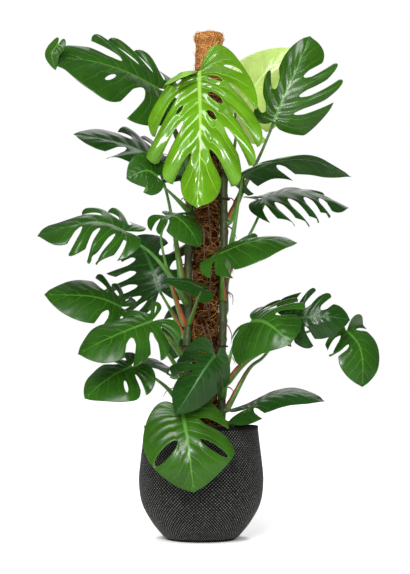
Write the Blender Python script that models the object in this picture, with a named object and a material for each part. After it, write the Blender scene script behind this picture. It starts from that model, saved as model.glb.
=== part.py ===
"""Potted monstera plant: a climbing plant on a coir pole, in a nursery pot inside a woven-look pot.

Metres, +Z up, front towards -Y, the pot standing on z = 0 with its axis on the Z axis.
"""

import math

import bmesh
import bpy
import numpy as np
from mathutils import Vector

# Clearances
GAP = 0.0003  # between pieces that touch

# Decorative pot: (height, outer radius) from the base to the rim
POT_PROFILE = (
    (0.000, 0.079),
    (0.012, 0.091),
    (0.042, 0.115),
    (0.084, 0.137),
    (0.133, 0.144),
    (0.180, 0.1405),
    (0.225, 0.135),
    (0.261, 0.131),
)
POT_WALL = 0.006
POT_FLOOR = 0.012
POT_STEPS = 36

# Nursery pot
GROW_BASE_RADIUS = 0.074
GROW_RIM_RADIUS = 0.113
GROW_HEIGHT = 0.218
GROW_WALL = 0.002
GROW_STEPS = 24

# Soil
SOIL_CROWN = 0.012  # how far the soil stands above the nursery pot's rim

# Moss pole
POLE_FOOT = Vector((0.003, 0.010, 0.03))
POLE_TOP = Vector((0.019, 0.010, 1.192))
POLE_RADIUS = 0.032
POLE_CORE_RADIUS = 0.016

# Climbing stems
STEM_RADIUS = 0.010
STEM_FOOT_DEPTH = 0.05  # how far a stem reaches into the soil
TIE_RADIUS = 0.0016
TIE_SIDES = 5
TIE_STEPS = 24

# Leaves
LEAF_THICKNESS = 0.001
MIDRIB_HALF_WIDTH = 0.004
VEIN_BOW = 0.30  # how far a side vein bows towards the leaf base
WIDEST = 0.49  # half width of the outline, in leaf lengths
SWEEP_POWER = 1.5  # how much more the margin is drawn towards the tip than the inner blade
PETIOLE_KNEE = 0.012  # the petiole's last stretch, square to the blade
PETIOLE_BASE_RADIUS = 0.0048
PETIOLE_TIP_RADIUS = 0.0026

# Half of a blade's outline from the notch round to the tip, in leaf lengths:
# along the midrib, out from it, and where the vein to that point leaves the midrib.
HALF_OUTLINE = (
    (-0.04, 0.03, 0.00),
    (-0.19, 0.10, 0.00),
    (-0.25, 0.24, 0.00),
    (-0.18, 0.39, 0.01),
    (0.02, 0.49, 0.05),
    (0.27, 0.49, 0.15),
    (0.52, 0.40, 0.32),
    (0.74, 0.27, 0.53),
    (0.91, 0.12, 0.76),
    (1.00, 0.00, 1.00),
)
CUT_ROUNDING = 0.30  # share of a cut's length over which it opens to its full width
FINGER_ROUNDING = 0.10  # how much shorter a finger is at its edges than along its middle
BLADE_ROWS = 3
BLADE_COLUMN = 0.1


def cuts(*places, inner=0.38, gap=0.014):
    """Cuts from the margin inwards: each place, with the same depth and half width."""
    return [(place, inner, gap) for place in places]


def half(width=1.0, rise=0.0, curl=-0.4, split=(), back=None, sweep=0.06):
    """One half of a blade, seen from above with the tip forward.

    width is a share of the outline's, rise the angle that the half rises from the midrib,
    curl the angle that it curls through, and split its cuts. back is the half's own angle
    for its lobe, and sweep how far its side is drawn towards the tip.
    """
    return {"width": width, "rise": rise, "curl": curl, "split": list(split), "back": back, "sweep": sweep}


def leaf(midrib, facing, right, left, tone, stem, height, route, back=0.2):
    """A leaf: its midrib from the petiole outwards and where its upper face looks there.

    back is the angle that the lobes behind the petiole rise. The petiole leaves the named
    stem at a height and follows a route of points to the blade.
    """
    return {
        "midrib": [Vector(point) for point in midrib],
        "facing": Vector(facing),
        "halves": {1: right, -1: left},
        "tone": tone,
        "stem": stem,
        "height": height,
        "route": [Vector(point) for point in route],
        "back": back,
    }


YOUNG = (0.28, 0.52, 0.08)
BRIGHT = (0.11, 0.36, 0.03)
GREEN = (0.05, 0.20, 0.04)
DARK = (0.03, 0.11, 0.04)

LEAVES = {
    "top_left": leaf(
        midrib=(
            (-0.100, 0.010, 1.056), (-0.172, -0.030, 1.086), (-0.245, -0.060, 1.104),
            (-0.310, -0.070, 1.110), (-0.352, -0.070, 1.102),
        ),
        facing=(0.1, -0.65, 0.75),
        right=half(0.8, rise=0.4, split=cuts(0.33, 0.44, 0.54, 0.66), sweep=0.30),
        left=half(1.05, split=cuts(0.55), sweep=0.12),
        tone=GREEN, stem="left", height=0.90, route=((-0.070, 0.010, 0.970),),
    ),
    "hero": leaf(
        midrib=((-0.005, -0.095, 1.075), (-0.002, -0.155, 0.950), (-0.003, -0.185, 0.850), (-0.009, -0.190, 0.745)),
        facing=(0.0, -0.9, 0.4),
        right=half(0.78, curl=-1.0, split=cuts(0.36, 0.52, 0.66, 0.80), back=2.4, sweep=0.28),
        left=half(0.88, curl=-0.6, split=cuts(0.44, 0.57, 0.66, 0.79), back=0.6, sweep=0.28),
        back=1.4, tone=BRIGHT, stem="left", height=0.84,
        route=((-0.038, -0.050, 0.900), (-0.030, -0.060, 0.960), (-0.020, -0.070, 1.030)),
    ),
    "young": leaf(
        midrib=((0.085, 0.090, 1.015), (0.145, 0.110, 1.105), (0.215, 0.100, 1.178)),
        facing=(0.2, -0.9, 0.3),
        right=half(1.15, split=cuts(0.42)),
        left=half(0.75),
        tone=YOUNG, stem="right", height=0.85, route=((0.075, 0.080, 0.900), (0.085, 0.125, 0.970)),
    ),
    "top_right": leaf(
        midrib=((0.170, 0.000, 0.975), (0.200, -0.010, 1.045), (0.232, -0.015, 1.115), (0.258, -0.005, 1.180)),
        facing=(0.1, -0.85, 0.4),
        right=half(1.1, split=cuts(0.50, 0.63, 0.75), sweep=0.40),
        left=half(0.6, split=cuts(0.45, 0.62), sweep=0.2),
        back=1.2, tone=GREEN, stem="right", height=0.74, route=((0.100, 0.020, 0.820), (0.140, 0.020, 0.900)),
    ),
    "right_upper": leaf(
        midrib=((0.086, -0.085, 0.831), (0.160, -0.095, 0.862), (0.250, -0.100, 0.868), (0.342, -0.105, 0.828)),
        facing=(0.05, 0.10, 1.0),
        right=half(0.42, rise=0.15, split=cuts(0.58), back=1.3),
        left=half(0.75, split=cuts(0.45, 0.65)),
        back=1.0, tone=DARK, stem="right", height=0.62, route=((0.070, -0.040, 0.680), (0.085, -0.075, 0.770)),
    ),
    "right_fingered": leaf(
        midrib=((0.145, 0.030, 0.797), (0.210, 0.030, 0.812), (0.280, 0.035, 0.805), (0.352, 0.040, 0.775)),
        facing=(0.0, -0.40, 0.9),
        right=half(1.35, split=cuts(0.36, 0.48, 0.59, 0.70, 0.80), sweep=0.26),
        left=half(1.0, split=cuts(0.38, 0.50, 0.63, 0.75), sweep=0.2),
        tone=DARK, stem="right", height=0.53,
        route=((0.060, 0.020, 0.600), (0.085, 0.020, 0.660), (0.120, 0.020, 0.720)),
    ),
    "left_upper": leaf(
        midrib=((-0.089, -0.010, 0.872), (-0.150, -0.030, 0.905), (-0.220, -0.040, 0.925), (-0.298, -0.040, 0.938)),
        facing=(0.0, -0.38, 0.92),
        right=half(1.4, rise=0.35, split=cuts(0.40, 0.54, 0.68), sweep=0.12),
        left=half(0.95, split=cuts(0.40, 0.55, 0.70), sweep=0.12),
        tone=DARK, stem="left", height=0.58,
        route=((-0.055, -0.010, 0.660), (-0.066, -0.010, 0.730), (-0.080, -0.005, 0.800)),
    ),
    "left_small": leaf(
        midrib=((-0.098, -0.115, 0.828), (-0.125, -0.135, 0.838), (-0.168, -0.145, 0.818)),
        facing=(-0.2, -0.95, 0.3),
        right=half(1.2),
        left=half(1.2),
        tone=GREEN, stem="left", height=0.765, route=((-0.066, -0.068, 0.792),),
    ),
    "left_long": leaf(
        midrib=((-0.168, -0.155, 0.697), (-0.210, -0.160, 0.714), (-0.260, -0.160, 0.716), (-0.366, -0.155, 0.687)),
        facing=(0.0, -0.30, 0.95),
        right=half(1.2, rise=0.35, split=cuts(0.38, 0.50, 0.62), sweep=0.2),
        left=half(1.35, rise=0.1, curl=-1.2, split=cuts(0.36, 0.48, 0.60, 0.72), sweep=0.2),
        tone=GREEN, stem="left", height=0.55, route=((-0.075, -0.075, 0.610), (-0.122, -0.120, 0.660)),
    ),
    "left_inner": leaf(
        midrib=((-0.082, -0.085, 0.742), (-0.055, -0.110, 0.735), (-0.027, -0.128, 0.707), (-0.003, -0.135, 0.665)),
        facing=(0.0, -0.5, 0.85),
        right=half(1.05, split=cuts(0.42, 0.58), sweep=0.15),
        left=half(split=cuts(0.42, 0.58)),
        tone=GREEN, stem="left", height=0.50, route=((-0.073, -0.040, 0.600), (-0.092, -0.070, 0.690)),
    ),
    "left_back": leaf(
        midrib=((-0.098, 0.060, 0.578), (-0.120, 0.090, 0.640), (-0.145, 0.140, 0.690), (-0.170, 0.190, 0.722)),
        facing=(-0.2, -0.8, 0.5),
        right=half(1.3, split=cuts(0.34, 0.46, 0.58, 0.71), sweep=0.12),
        left=half(1.5, split=cuts(0.32, 0.43, 0.54, 0.65, 0.76), sweep=0.12),
        tone=DARK, stem="left", height=0.47, route=((-0.060, 0.030, 0.510),),
    ),
    "left_middle": leaf(
        midrib=((-0.182, -0.060, 0.533), (-0.222, -0.080, 0.550), (-0.268, -0.090, 0.558), (-0.357, -0.090, 0.560)),
        facing=(0.0, -0.75, 0.65),
        right=half(1.1, split=cuts(0.34, 0.46, 0.58), sweep=0.1),
        left=half(1.0, split=cuts(0.40, 0.56)),
        tone=GREEN, stem="left", height=0.42, route=((-0.075, -0.040, 0.460), (-0.140, -0.050, 0.510)),
    ),
    "left_lower": leaf(
        midrib=((-0.106, -0.180, 0.497), (-0.160, -0.205, 0.475), (-0.215, -0.220, 0.450), (-0.267, -0.225, 0.422)),
        facing=(-0.1, -0.65, 0.75),
        right=half(1.1, split=cuts(0.36, 0.50)),
        left=half(1.2, split=cuts(0.38, 0.52, 0.66), sweep=0.1),
        tone=GREEN, stem="left", height=0.36, route=((-0.065, -0.080, 0.410), (-0.100, -0.140, 0.460)),
    ),
    "left_bottom": leaf(
        midrib=((-0.155, -0.120, 0.398), (-0.190, -0.140, 0.380), (-0.225, -0.150, 0.355), (-0.258, -0.155, 0.325)),
        facing=(-0.1, -0.7, 0.7),
        right=half(1.3, split=cuts(0.40, 0.54)),
        left=half(1.3, split=cuts(0.48)),
        tone=GREEN, stem="left", height=0.30, route=((-0.080, -0.060, 0.350), (-0.130, -0.100, 0.385)),
    ),
    "middle_folded": leaf(
        midrib=((0.032, -0.165, 0.422), (0.012, -0.190, 0.395), (-0.020, -0.205, 0.345), (-0.055, -0.205, 0.292)),
        facing=(-0.3, -0.8, 0.5),
        right=half(1.2, split=cuts(0.50, 0.66), sweep=0.1),
        left=half(rise=-1.0, split=cuts(0.50)),
        back=1.0, tone=DARK, stem="right", height=0.40, route=((0.050, -0.080, 0.430), (0.045, -0.130, 0.430)),
    ),
    "front_low": leaf(
        midrib=((-0.041, -0.165, 0.291), (-0.030, -0.200, 0.240), (-0.022, -0.215, 0.180), (-0.015, -0.205, 0.122)),
        facing=(0.0, -0.85, 0.5),
        right=half(1.08, sweep=0.18),
        left=half(1.22, split=cuts(0.48), sweep=0.20),
        tone=BRIGHT, stem="left", height=0.27, route=((-0.040, -0.080, 0.300), (-0.042, -0.130, 0.300)),
    ),
    "right_small": leaf(
        midrib=((0.103, -0.080, 0.300), (0.160, -0.090, 0.331), (0.220, -0.095, 0.336), (0.280, -0.095, 0.318)),
        facing=(0.0, -0.3, 0.95),
        right=half(0.75, split=cuts(0.50)),
        left=half(0.75),
        tone=DARK, stem="right", height=0.262, route=((0.080, -0.045, 0.272),),
    ),
    "right_front": leaf(
        midrib=((0.113, -0.090, 0.500), (0.140, -0.130, 0.497), (0.170, -0.160, 0.475), (0.198, -0.180, 0.445)),
        facing=(0.05, -0.9, 0.4),
        right=half(1.7, split=cuts(0.24)),
        left=half(1.75, split=cuts(0.30, 0.42, 0.54, 0.68), sweep=0.1),
        tone=GREEN, stem="right", height=0.33, route=((0.063, -0.050, 0.405), (0.085, -0.075, 0.470)),
    ),
    "right_behind": leaf(
        midrib=((0.205, -0.020, 0.508), (0.250, -0.035, 0.512), (0.300, -0.040, 0.512), (0.345, -0.030, 0.505)),
        facing=(0.1, -0.95, 0.2),
        right=half(1.05, split=cuts(0.42, 0.60)),
        left=half(1.1, split=cuts(0.48, 0.60, 0.74), sweep=0.15),
        tone=DARK, stem="right", height=0.30, route=((0.110, 0.000, 0.390), (0.145, 0.005, 0.420), (0.185, 0.005, 0.470)),
    ),
    "far_right": leaf(
        midrib=((0.345, 0.050, 0.485), (0.372, 0.035, 0.450), (0.380, 0.025, 0.405), (0.378, 0.025, 0.350)),
        facing=(0.4, -0.85, 0.3),
        right=half(1.1, split=cuts(0.42, 0.58), sweep=0.2),
        left=half(split=cuts(0.48)),
        back=1.2, tone=GREEN, stem="right", height=0.36,
        route=((0.120, 0.030, 0.420), (0.250, 0.060, 0.480), (0.320, 0.070, 0.490)),
    ),
    "centre_right": leaf(
        midrib=((0.040, -0.120, 0.650), (0.100, -0.145, 0.672), (0.160, -0.155, 0.680), (0.215, -0.155, 0.672)),
        facing=(0.0, -0.5, 0.85),
        right=half(1.1, split=cuts(0.36, 0.50), sweep=0.1),
        left=half(split=cuts(0.36, 0.48, 0.62), sweep=0.15),
        tone=GREEN, stem="right", height=0.56, route=((0.048, -0.080, 0.610),),
    ),
    "centre": leaf(
        midrib=((0.004, -0.130, 0.572), (-0.030, -0.150, 0.585), (-0.084, -0.160, 0.588)),
        facing=(0.0, -0.6, 0.8),
        right=half(split=cuts(0.50)),
        left=half(split=cuts(0.50)),
        tone=DARK, stem="left", height=0.50, route=((-0.010, -0.080, 0.545),),
    ),
    "back_left": leaf(
        midrib=((-0.035, 0.100, 0.520), (-0.060, 0.130, 0.470), (-0.075, 0.140, 0.415)),
        facing=(-0.2, 0.9, 0.3),
        right=half(split=cuts(0.50)),
        left=half(split=cuts(0.50)),
        tone=DARK, stem="back", height=0.42, route=((-0.010, 0.090, 0.480),),
    ),
    "back_low": leaf(
        midrib=((-0.075, 0.150, 0.395), (-0.115, 0.175, 0.415), (-0.165, 0.185, 0.405)),
        facing=(-0.2, 0.4, 0.8),
        right=half(split=cuts(0.50)),
        left=half(split=cuts(0.50)),
        tone=DARK, stem="back", height=0.30, route=((-0.030, 0.110, 0.355),),
    ),
    "back_upper": leaf(
        midrib=((0.000, 0.150, 0.960), (0.000, 0.210, 0.940), (0.000, 0.270, 0.880), (0.000, 0.300, 0.800)),
        facing=(0.0, 0.5, 0.8),
        right=half(0.7, split=cuts(0.42, 0.60, 0.75)),
        left=half(0.7, split=cuts(0.42, 0.60, 0.75)),
        tone=GREEN, stem="back", height=0.84, route=((0.012, 0.110, 0.900),),
    ),
}

STEM_TURNS = {"left": 195.0, "right": -15.0, "back": 85.0}  # degrees round the pole from +X
STEM_TOPS = {"left": 0.95, "right": 0.90, "back": 0.90}
TIES = {"lower_tie": 0.445, "upper_tie": 0.79}  # heights


def new_material(name, colour, roughness=0.5, metallic=0.0):
    material = bpy.data.materials.new(name)
    material.use_nodes = True
    shader = material.node_tree.nodes["Principled BSDF"]
    shader.inputs["Base Color"].default_value = (*colour, 1.0)
    shader.inputs["Roughness"].default_value = roughness
    shader.inputs["Metallic"].default_value = metallic
    return material


def add_object(name, data, material):
    data.materials.append(material)
    piece = bpy.data.objects.new(name, data)
    bpy.context.scene.collection.objects.link(piece)
    return piece


def smooth_path(points, count):
    """count points along a Catmull-Rom curve through the given points, ends included."""
    ends = [2 * points[0] - points[1], *points, 2 * points[-1] - points[-2]]
    spans = len(points) - 1
    path = []
    for k in range(count):
        place = min(k * spans / (count - 1), spans - 1e-9)
        i = int(place)
        t = place - i
        a, b, c, d = ends[i : i + 4]
        path.append(
            0.5 * (2 * b + (c - a) * t + (2 * a - 5 * b + 4 * c - d) * t**2 + (3 * b - a - 3 * c + d) * t**3)
        )
    return path


def add_tie(name, height, material):
    """A ring of twine round the pole and its stems."""
    reach = POLE_RADIUS + 2 * STEM_RADIUS + 3 * GAP + TIE_RADIUS
    mesh = bpy.data.meshes.new(name)
    shape = bmesh.new()
    profile = []
    for k in range(TIE_SIDES):
        turn = k * math.tau / TIE_SIDES
        profile.append(shape.verts.new((reach + TIE_RADIUS * math.cos(turn), 0.0, TIE_RADIUS * math.sin(turn))))
    edges = [shape.edges.new((profile[k - 1], profile[k])) for k in range(TIE_SIDES)]
    bmesh.ops.spin(
        shape, geom=profile + edges, cent=(0, 0, 0), axis=(0, 0, 1), angle=math.tau, steps=TIE_STEPS, use_merge=True
    )
    bmesh.ops.recalc_face_normals(shape, faces=shape.faces)
    shape.to_mesh(mesh)
    shape.free()
    tie = add_object(name, mesh, material)
    tie.location = pole_axis(height)
    return tie


# Blades


def outline_at(t):
    """The margin point and its vein's origin at t, from the notch at 0 to the tip at 1."""
    rows = [Vector(row) for row in HALF_OUTLINE]
    ends = [2 * rows[0] - rows[1], *rows, 2 * rows[-1] - rows[-2]]
    place = min(t * (len(rows) - 1), len(rows) - 1 - 1e-9)
    i = int(place)
    s = place - i
    a, b, c, d = ends[i : i + 4]
    u, v, origin = 0.5 * (2 * b + (c - a) * s + (2 * a - 5 * b + 4 * c - d) * s**2 + (3 * b - a - 3 * c + d) * s**3)
    return Vector((u, max(v, 0.0))), min(max(origin, 0.0), 1.0)


def blade_point(t, r, rib, sweep):
    """The flat blade's point on vein t, a share r of the way from the midrib to the margin."""
    margin, origin = outline_at(t)
    start = Vector((origin, rib * (1 - origin)))
    out = margin - start
    place = start + out * r + Vector((-VEIN_BOW * out.length * r * (1 - r) * (1 - t), 0.0))
    return place + Vector((sweep * (place.y / WIDEST) ** SWEEP_POWER, 0.0))


def opening(split, r):
    """How far a cut stands open at r, to each side of its vein."""
    _, inner, gap = split
    if r <= inner + 1e-6:
        return 0.0
    return gap * math.sqrt(min((r - inner) / ((1 - inner) * CUT_ROUNDING), 1.0))


def seam_rows(split, rows):
    """Row positions from midrib to margin, with one of them at a cut's inner end."""
    if split is None:
        return [k / rows for k in range(rows + 1)]
    inner = split[1]
    at = min(max(round(inner * rows), 1), rows - 1)
    return [inner * k / at if k <= at else inner + (1 - inner) * (k - at) / (rows - at) for k in range(rows + 1)]


def flat_half(spec, rows, column, rib):
    """Grid columns of one half: a list of fingers, each a list of columns of (t, r, point)."""
    seams = [None, *spec["split"], None]
    fingers = []
    for low, high in zip(seams, seams[1:]):
        start = low[0] if low else 0.0
        end = high[0] if high else 1.0
        count = max(2, math.ceil((end - start) / column))
        low_rows = seam_rows(low or high, rows)
        high_rows = seam_rows(high or low, rows)
        finger = []
        for c in range(count + 1):
            f = c / count
            inner = (1 - f) * (low or high or (0, 0.4))[1] + f * (high or low or (0, 0.4))[1]
            edge = abs(2 * f - 1) ** 3 if low and high else (1 - f if low else f) ** 6
            reach = 1 - FINGER_ROUNDING * edge if low or high else 1.0
            line = []
            for k in range(rows + 1):
                r = (1 - f) * low_rows[k] + f * high_rows[k]
                a = start + (opening(low, low_rows[k]) if low else 0.0)
                b = end - (opening(high, high_rows[k]) if high else 0.0)
                t = (1 - f) * a + f * b
                if r > inner:
                    r = inner + (r - inner) * (reach - inner) / (1 - inner)
                line.append((t, r, blade_point(t, r, rib, spec["sweep"])))
            finger.append(line)
        fingers.append(finger)
    return fingers


def evenly(path, count):
    """count points evenly spaced along the path, ends included."""
    lengths = np.cumsum([0.0] + [(b - a).length for a, b in zip(path, path[1:])])
    places = np.linspace(0.0, lengths[-1], count)
    columns = [np.interp(places, lengths, [point[axis] for point in path]) for axis in range(3)]
    return [Vector(point) for point in zip(*columns)]


def midrib_frames(row, count=24):
    """Points along the midrib, each with its tangent and its upper face's direction."""
    points = evenly(smooth_path(row["midrib"], 4 * count), count)
    frames = []
    up = row["facing"]
    for i, point in enumerate(points):
        tangent = (points[min(i + 1, count - 1)] - points[max(i - 1, 0)]).normalized()
        up = (up - up.dot(tangent) * tangent).normalized()
        frames.append((point, tangent, up))
    return frames


def midrib_length(frames):
    return sum((b[0] - a[0]).length for a, b in zip(frames, frames[1:]))


def raised(row, frames, length, u, v):
    """The point in space of the flat blade's (u, v), with v to the right of the midrib."""
    along = min(max(u, 0.0), 1.0) * (len(frames) - 1)
    i = min(int(along), len(frames) - 2)
    f = along - i
    point = frames[i][0].lerp(frames[i + 1][0], f)
    tangent = frames[i][1].lerp(frames[i + 1][1], f).normalized()
    up = frames[i][2].lerp(frames[i + 1][2], f).normalized()
    right = tangent.cross(up)
    side = 1 if v >= 0 else -1
    spec = row["halves"][side]
    distance = abs(v) * length * spec["width"]
    if u < 0:
        back = row["back"] if spec["back"] is None else spec["back"]
        point = point + (math.sin(back) * up - math.cos(back) * tangent) * -u * length
    bend = spec["curl"] / (0.5 * length)
    angle = spec["rise"] + bend * distance
    if abs(bend) < 1e-6:
        out, lift = distance * math.cos(angle), distance * math.sin(angle)
    else:
        out = (math.sin(angle) - math.sin(spec["rise"])) / bend
        lift = (math.cos(spec["rise"]) - math.cos(angle)) / bend
    return point + right * side * out + up * lift


def blade_mesh(name, row, rows=BLADE_ROWS, column=BLADE_COLUMN):
    """The blade's middle surface, with its faces looking up."""
    frames = midrib_frames(row)
    length = midrib_length(frames)
    rib = MIDRIB_HALF_WIDTH / length
    places = {}
    faces = []

    def vertex(point, side):
        key = (round(point.x, 5), round(point.y * side, 5))
        if key not in places:
            places[key] = len(places)
        return places[key]

    def add_face(corners):
        ring = [c for i, c in enumerate(corners) if c != corners[i - 1]]
        if len(set(ring)) > 2:
            faces.append(ring)

    chains = {}
    for side in (1, -1):
        chain = []
        for finger in flat_half(row["halves"][side], rows, column, rib):
            for a, b in zip(finger, finger[1:]):
                for k in range(rows):
                    corners = [vertex(p[2], side) for p in (a[k], a[k + 1], b[k + 1], b[k])]
                    add_face(corners[::side])
            chain += [vertex(line[0][2], side) for line in finger]
        chains[side] = list(dict.fromkeys(chain))
    keys = list(places)
    right, left = chains[1], chains[-1]
    i = j = 0
    while i < len(right) - 1 or j < len(left) - 1:
        if j == len(left) - 1 or (i < len(right) - 1 and keys[right[i + 1]][0] <= keys[left[j + 1]][0]):
            add_face([left[j], right[i], right[i + 1]])
            i += 1
        else:
            add_face([left[j], right[i], left[j + 1]])
            j += 1
    mesh = bpy.data.meshes.new(name)
    mesh.from_pydata([raised(row, frames, length, u, v) for u, v in keys], [], faces)
    mesh.validate()
    return mesh


def add_blade(name, row, material):
    blade = add_object(name, blade_mesh(name, row), material)
    blade.data.shade_smooth()
    solidify = blade.modifiers.new("Thickness", "SOLIDIFY")
    solidify.thickness = LEAF_THICKNESS
    solidify.offset = 0.0
    return blade


# Pole, stems and petioles


def pole_axis(height):
    share = (height - POLE_FOOT.z) / (POLE_TOP.z - POLE_FOOT.z)
    return POLE_FOOT.lerp(POLE_TOP, share)


def stem_out(stem):
    turn = math.radians(STEM_TURNS[stem])
    return Vector((math.cos(turn), math.sin(turn), 0.0))


def stem_axis(stem, height):
    return pole_axis(height) + stem_out(stem) * (POLE_RADIUS + STEM_RADIUS + 2 * GAP)


def add_tube(name, path, radii, material, resolution=1):
    curve = bpy.data.curves.new(name, "CURVE")
    curve.dimensions = "3D"
    curve.bevel_depth = 1.0
    curve.bevel_resolution = resolution
    curve.use_fill_caps = True
    spline = curve.splines.new("POLY")
    spline.points.add(len(path) - 1)
    for point, place, radius in zip(spline.points, path, radii):
        point.co = (*place, 1.0)
        point.radius = radius
    return add_object(name, curve, material)


def petiole_path(row):
    """From the stem's surface, square to it, to the blade's underside, square to that."""
    point, tangent, up = midrib_frames(row)[0]
    fall = max(0.0, *(-spec["rise"] for spec in row["halves"].values()))
    below = LEAF_THICKNESS / 2 + 2 * GAP + PETIOLE_TIP_RADIUS * math.tan(fall)
    end = point + tangent * 2 * PETIOLE_TIP_RADIUS - up * below
    knee = end - up * PETIOLE_KNEE
    centre = stem_axis(row["stem"], row["height"])
    first = row["route"][0] - centre
    turn = Vector((first.x, first.y, 0.0)).normalized()
    start = centre + turn * (STEM_RADIUS + GAP)
    leave = start + turn * PETIOLE_BASE_RADIUS
    return [start, *smooth_path([leave, *row["route"], knee], 3 * len(row["route"]) + 3), end]


def add_petiole(name, row, material):
    path = petiole_path(row)
    last = len(path) - 1
    radii = [PETIOLE_BASE_RADIUS + (PETIOLE_TIP_RADIUS - PETIOLE_BASE_RADIUS) * i / last for i in range(last + 1)]
    return add_tube(name, path, radii, material)


def cylinder(name, foot, top, radius, steps):
    """A mesh cylinder between two points."""
    mesh = bpy.data.meshes.new(name)
    shape = bmesh.new()
    axis = top - foot
    turn = axis.to_track_quat("Z", "Y").to_matrix().to_4x4()
    turn.translation = (foot + top) / 2
    bmesh.ops.create_cone(
        shape, cap_ends=True, segments=steps, radius1=radius, radius2=radius, depth=axis.length, matrix=turn
    )
    shape.to_mesh(mesh)
    shape.free()
    return mesh


def turned(name, profile, steps):
    """A closed body turned round Z from a profile of (radius, height) that starts and ends on the axis."""
    mesh = bpy.data.meshes.new(name)
    shape = bmesh.new()
    points = [shape.verts.new((radius, 0.0, height)) for radius, height in profile]
    edges = [shape.edges.new(pair) for pair in zip(points, points[1:])]
    bmesh.ops.spin(
        shape, geom=points + edges, cent=(0, 0, 0), axis=(0, 0, 1), angle=math.tau, steps=steps, use_merge=True
    )
    bmesh.ops.remove_doubles(shape, verts=shape.verts, dist=1e-6)
    bmesh.ops.recalc_face_normals(shape, faces=shape.faces)
    shape.to_mesh(mesh)
    shape.free()
    return mesh


def pot_inner_radius(height):
    heights, radii = zip(*POT_PROFILE)
    return float(np.interp(height, heights, radii)) - POT_WALL


def add_pot(material):
    outer = [(0.0, 0.0)] + [(radius, height) for height, radius in POT_PROFILE]
    top = POT_PROFILE[-1][0]
    inner = [(pot_inner_radius(height), height) for height, _ in POT_PROFILE[::-1] if height > POT_FLOOR]
    inner[0] = (pot_inner_radius(top), top)
    floor = [(pot_inner_radius(POT_FLOOR), POT_FLOOR), (0.0, POT_FLOOR)]
    pot = add_object("pot", turned("pot", outer + inner + floor, POT_STEPS), material)
    pot.data.shade_smooth()
    pot.data.set_sharp_from_angle(angle=math.radians(40))
    return pot


def grow_radius(height):
    return GROW_BASE_RADIUS + (GROW_RIM_RADIUS - GROW_BASE_RADIUS) * height / GROW_HEIGHT


def add_grow_pot(material):
    foot = POT_FLOOR + GAP
    profile = [
        (0.0, foot),
        (GROW_BASE_RADIUS, foot),
        (GROW_RIM_RADIUS, foot + GROW_HEIGHT),
        (GROW_RIM_RADIUS - GROW_WALL, foot + GROW_HEIGHT),
        (grow_radius(GROW_WALL) - GROW_WALL, foot + GROW_WALL),
        (0.0, foot + GROW_WALL),
    ]
    return add_object("nursery_pot", turned("nursery_pot", profile, GROW_STEPS), material)


def soil_top():
    return POT_FLOOR + GROW_HEIGHT + SOIL_CROWN


def cut_with(piece, cutter_mesh):
    cutter = bpy.data.objects.new("cutter", cutter_mesh)
    bpy.context.scene.collection.objects.link(cutter)
    cutter.hide_render = True
    cutter.display_type = "WIRE"
    boolean = piece.modifiers.new("Hole", "BOOLEAN")
    boolean.operation = "DIFFERENCE"
    boolean.object = cutter
    boolean.solver = "EXACT"


def add_soil(material):
    foot = POT_FLOOR + GAP + GROW_WALL
    side = GROW_WALL + 2 * GAP
    profile = [
        (0.0, foot + GAP),
        (grow_radius(GROW_WALL) - side, foot + GAP),
        (GROW_RIM_RADIUS - side, foot + GROW_HEIGHT - GROW_WALL),
        (GROW_RIM_RADIUS - 4 * side, soil_top()),
        (0.0, soil_top()),
    ]
    soil = add_object("soil", turned("soil", profile, GROW_STEPS), material)
    above = soil_top() + 0.05
    cut_with(soil, cylinder("pole_hole", pole_axis(POLE_FOOT.z - GAP), pole_axis(above), POLE_RADIUS + GAP, 24))
    for stem in STEM_TURNS:
        foot = stem_axis(stem, soil_top() - STEM_FOOT_DEPTH - GAP)
        cut_with(soil, cylinder(stem + "_hole", foot, stem_axis(stem, above), STEM_RADIUS + GAP, 12))
    return soil


def main():
    for piece in list(bpy.data.objects):
        bpy.data.objects.remove(piece)
    pot_material = new_material("pot_charcoal", (0.035, 0.036, 0.038), 0.55)
    plastic = new_material("nursery_plastic", (0.02, 0.02, 0.02), 0.5)
    earth = new_material("bark_soil", (0.10, 0.05, 0.03), 0.95)
    coir = new_material("coir", (0.36, 0.20, 0.09), 0.95)
    vine = new_material("vine", (0.16, 0.24, 0.07), 0.5)
    stalk = new_material("petiole", (0.08, 0.26, 0.04), 0.4)
    twine = new_material("twine", (0.03, 0.025, 0.02), 0.8)

    add_pot(pot_material)
    add_grow_pot(plastic)
    add_soil(earth)
    pole = add_object("moss_pole", cylinder("moss_pole", POLE_FOOT, POLE_TOP, POLE_RADIUS, 24), coir)
    core_hole = cylinder("core_hole", pole_axis(0.0), pole_axis(POLE_TOP.z + 0.05), POLE_CORE_RADIUS + GAP, 12)
    cut_with(pole, core_hole)
    core = cylinder("pole_core", POLE_FOOT, pole_axis(POLE_TOP.z - 0.004), POLE_CORE_RADIUS, 12)
    add_object("pole_core", core, plastic)
    for stem, top in STEM_TOPS.items():
        foot = soil_top() - STEM_FOOT_DEPTH
        path = [stem_axis(stem, foot), stem_axis(stem, top)]
        add_object(stem + "_stem", cylinder(stem, *path, STEM_RADIUS, 12), vine)
    for name, height in TIES.items():
        add_tie(name, height, twine)
    for name, row in LEAVES.items():
        add_blade(name + "_blade", row, new_material(name, row["tone"], 0.35))
        add_petiole(name + "_petiole", row, stalk)


main()
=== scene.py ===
"""The looks of the potted monstera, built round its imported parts."""

import math

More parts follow.
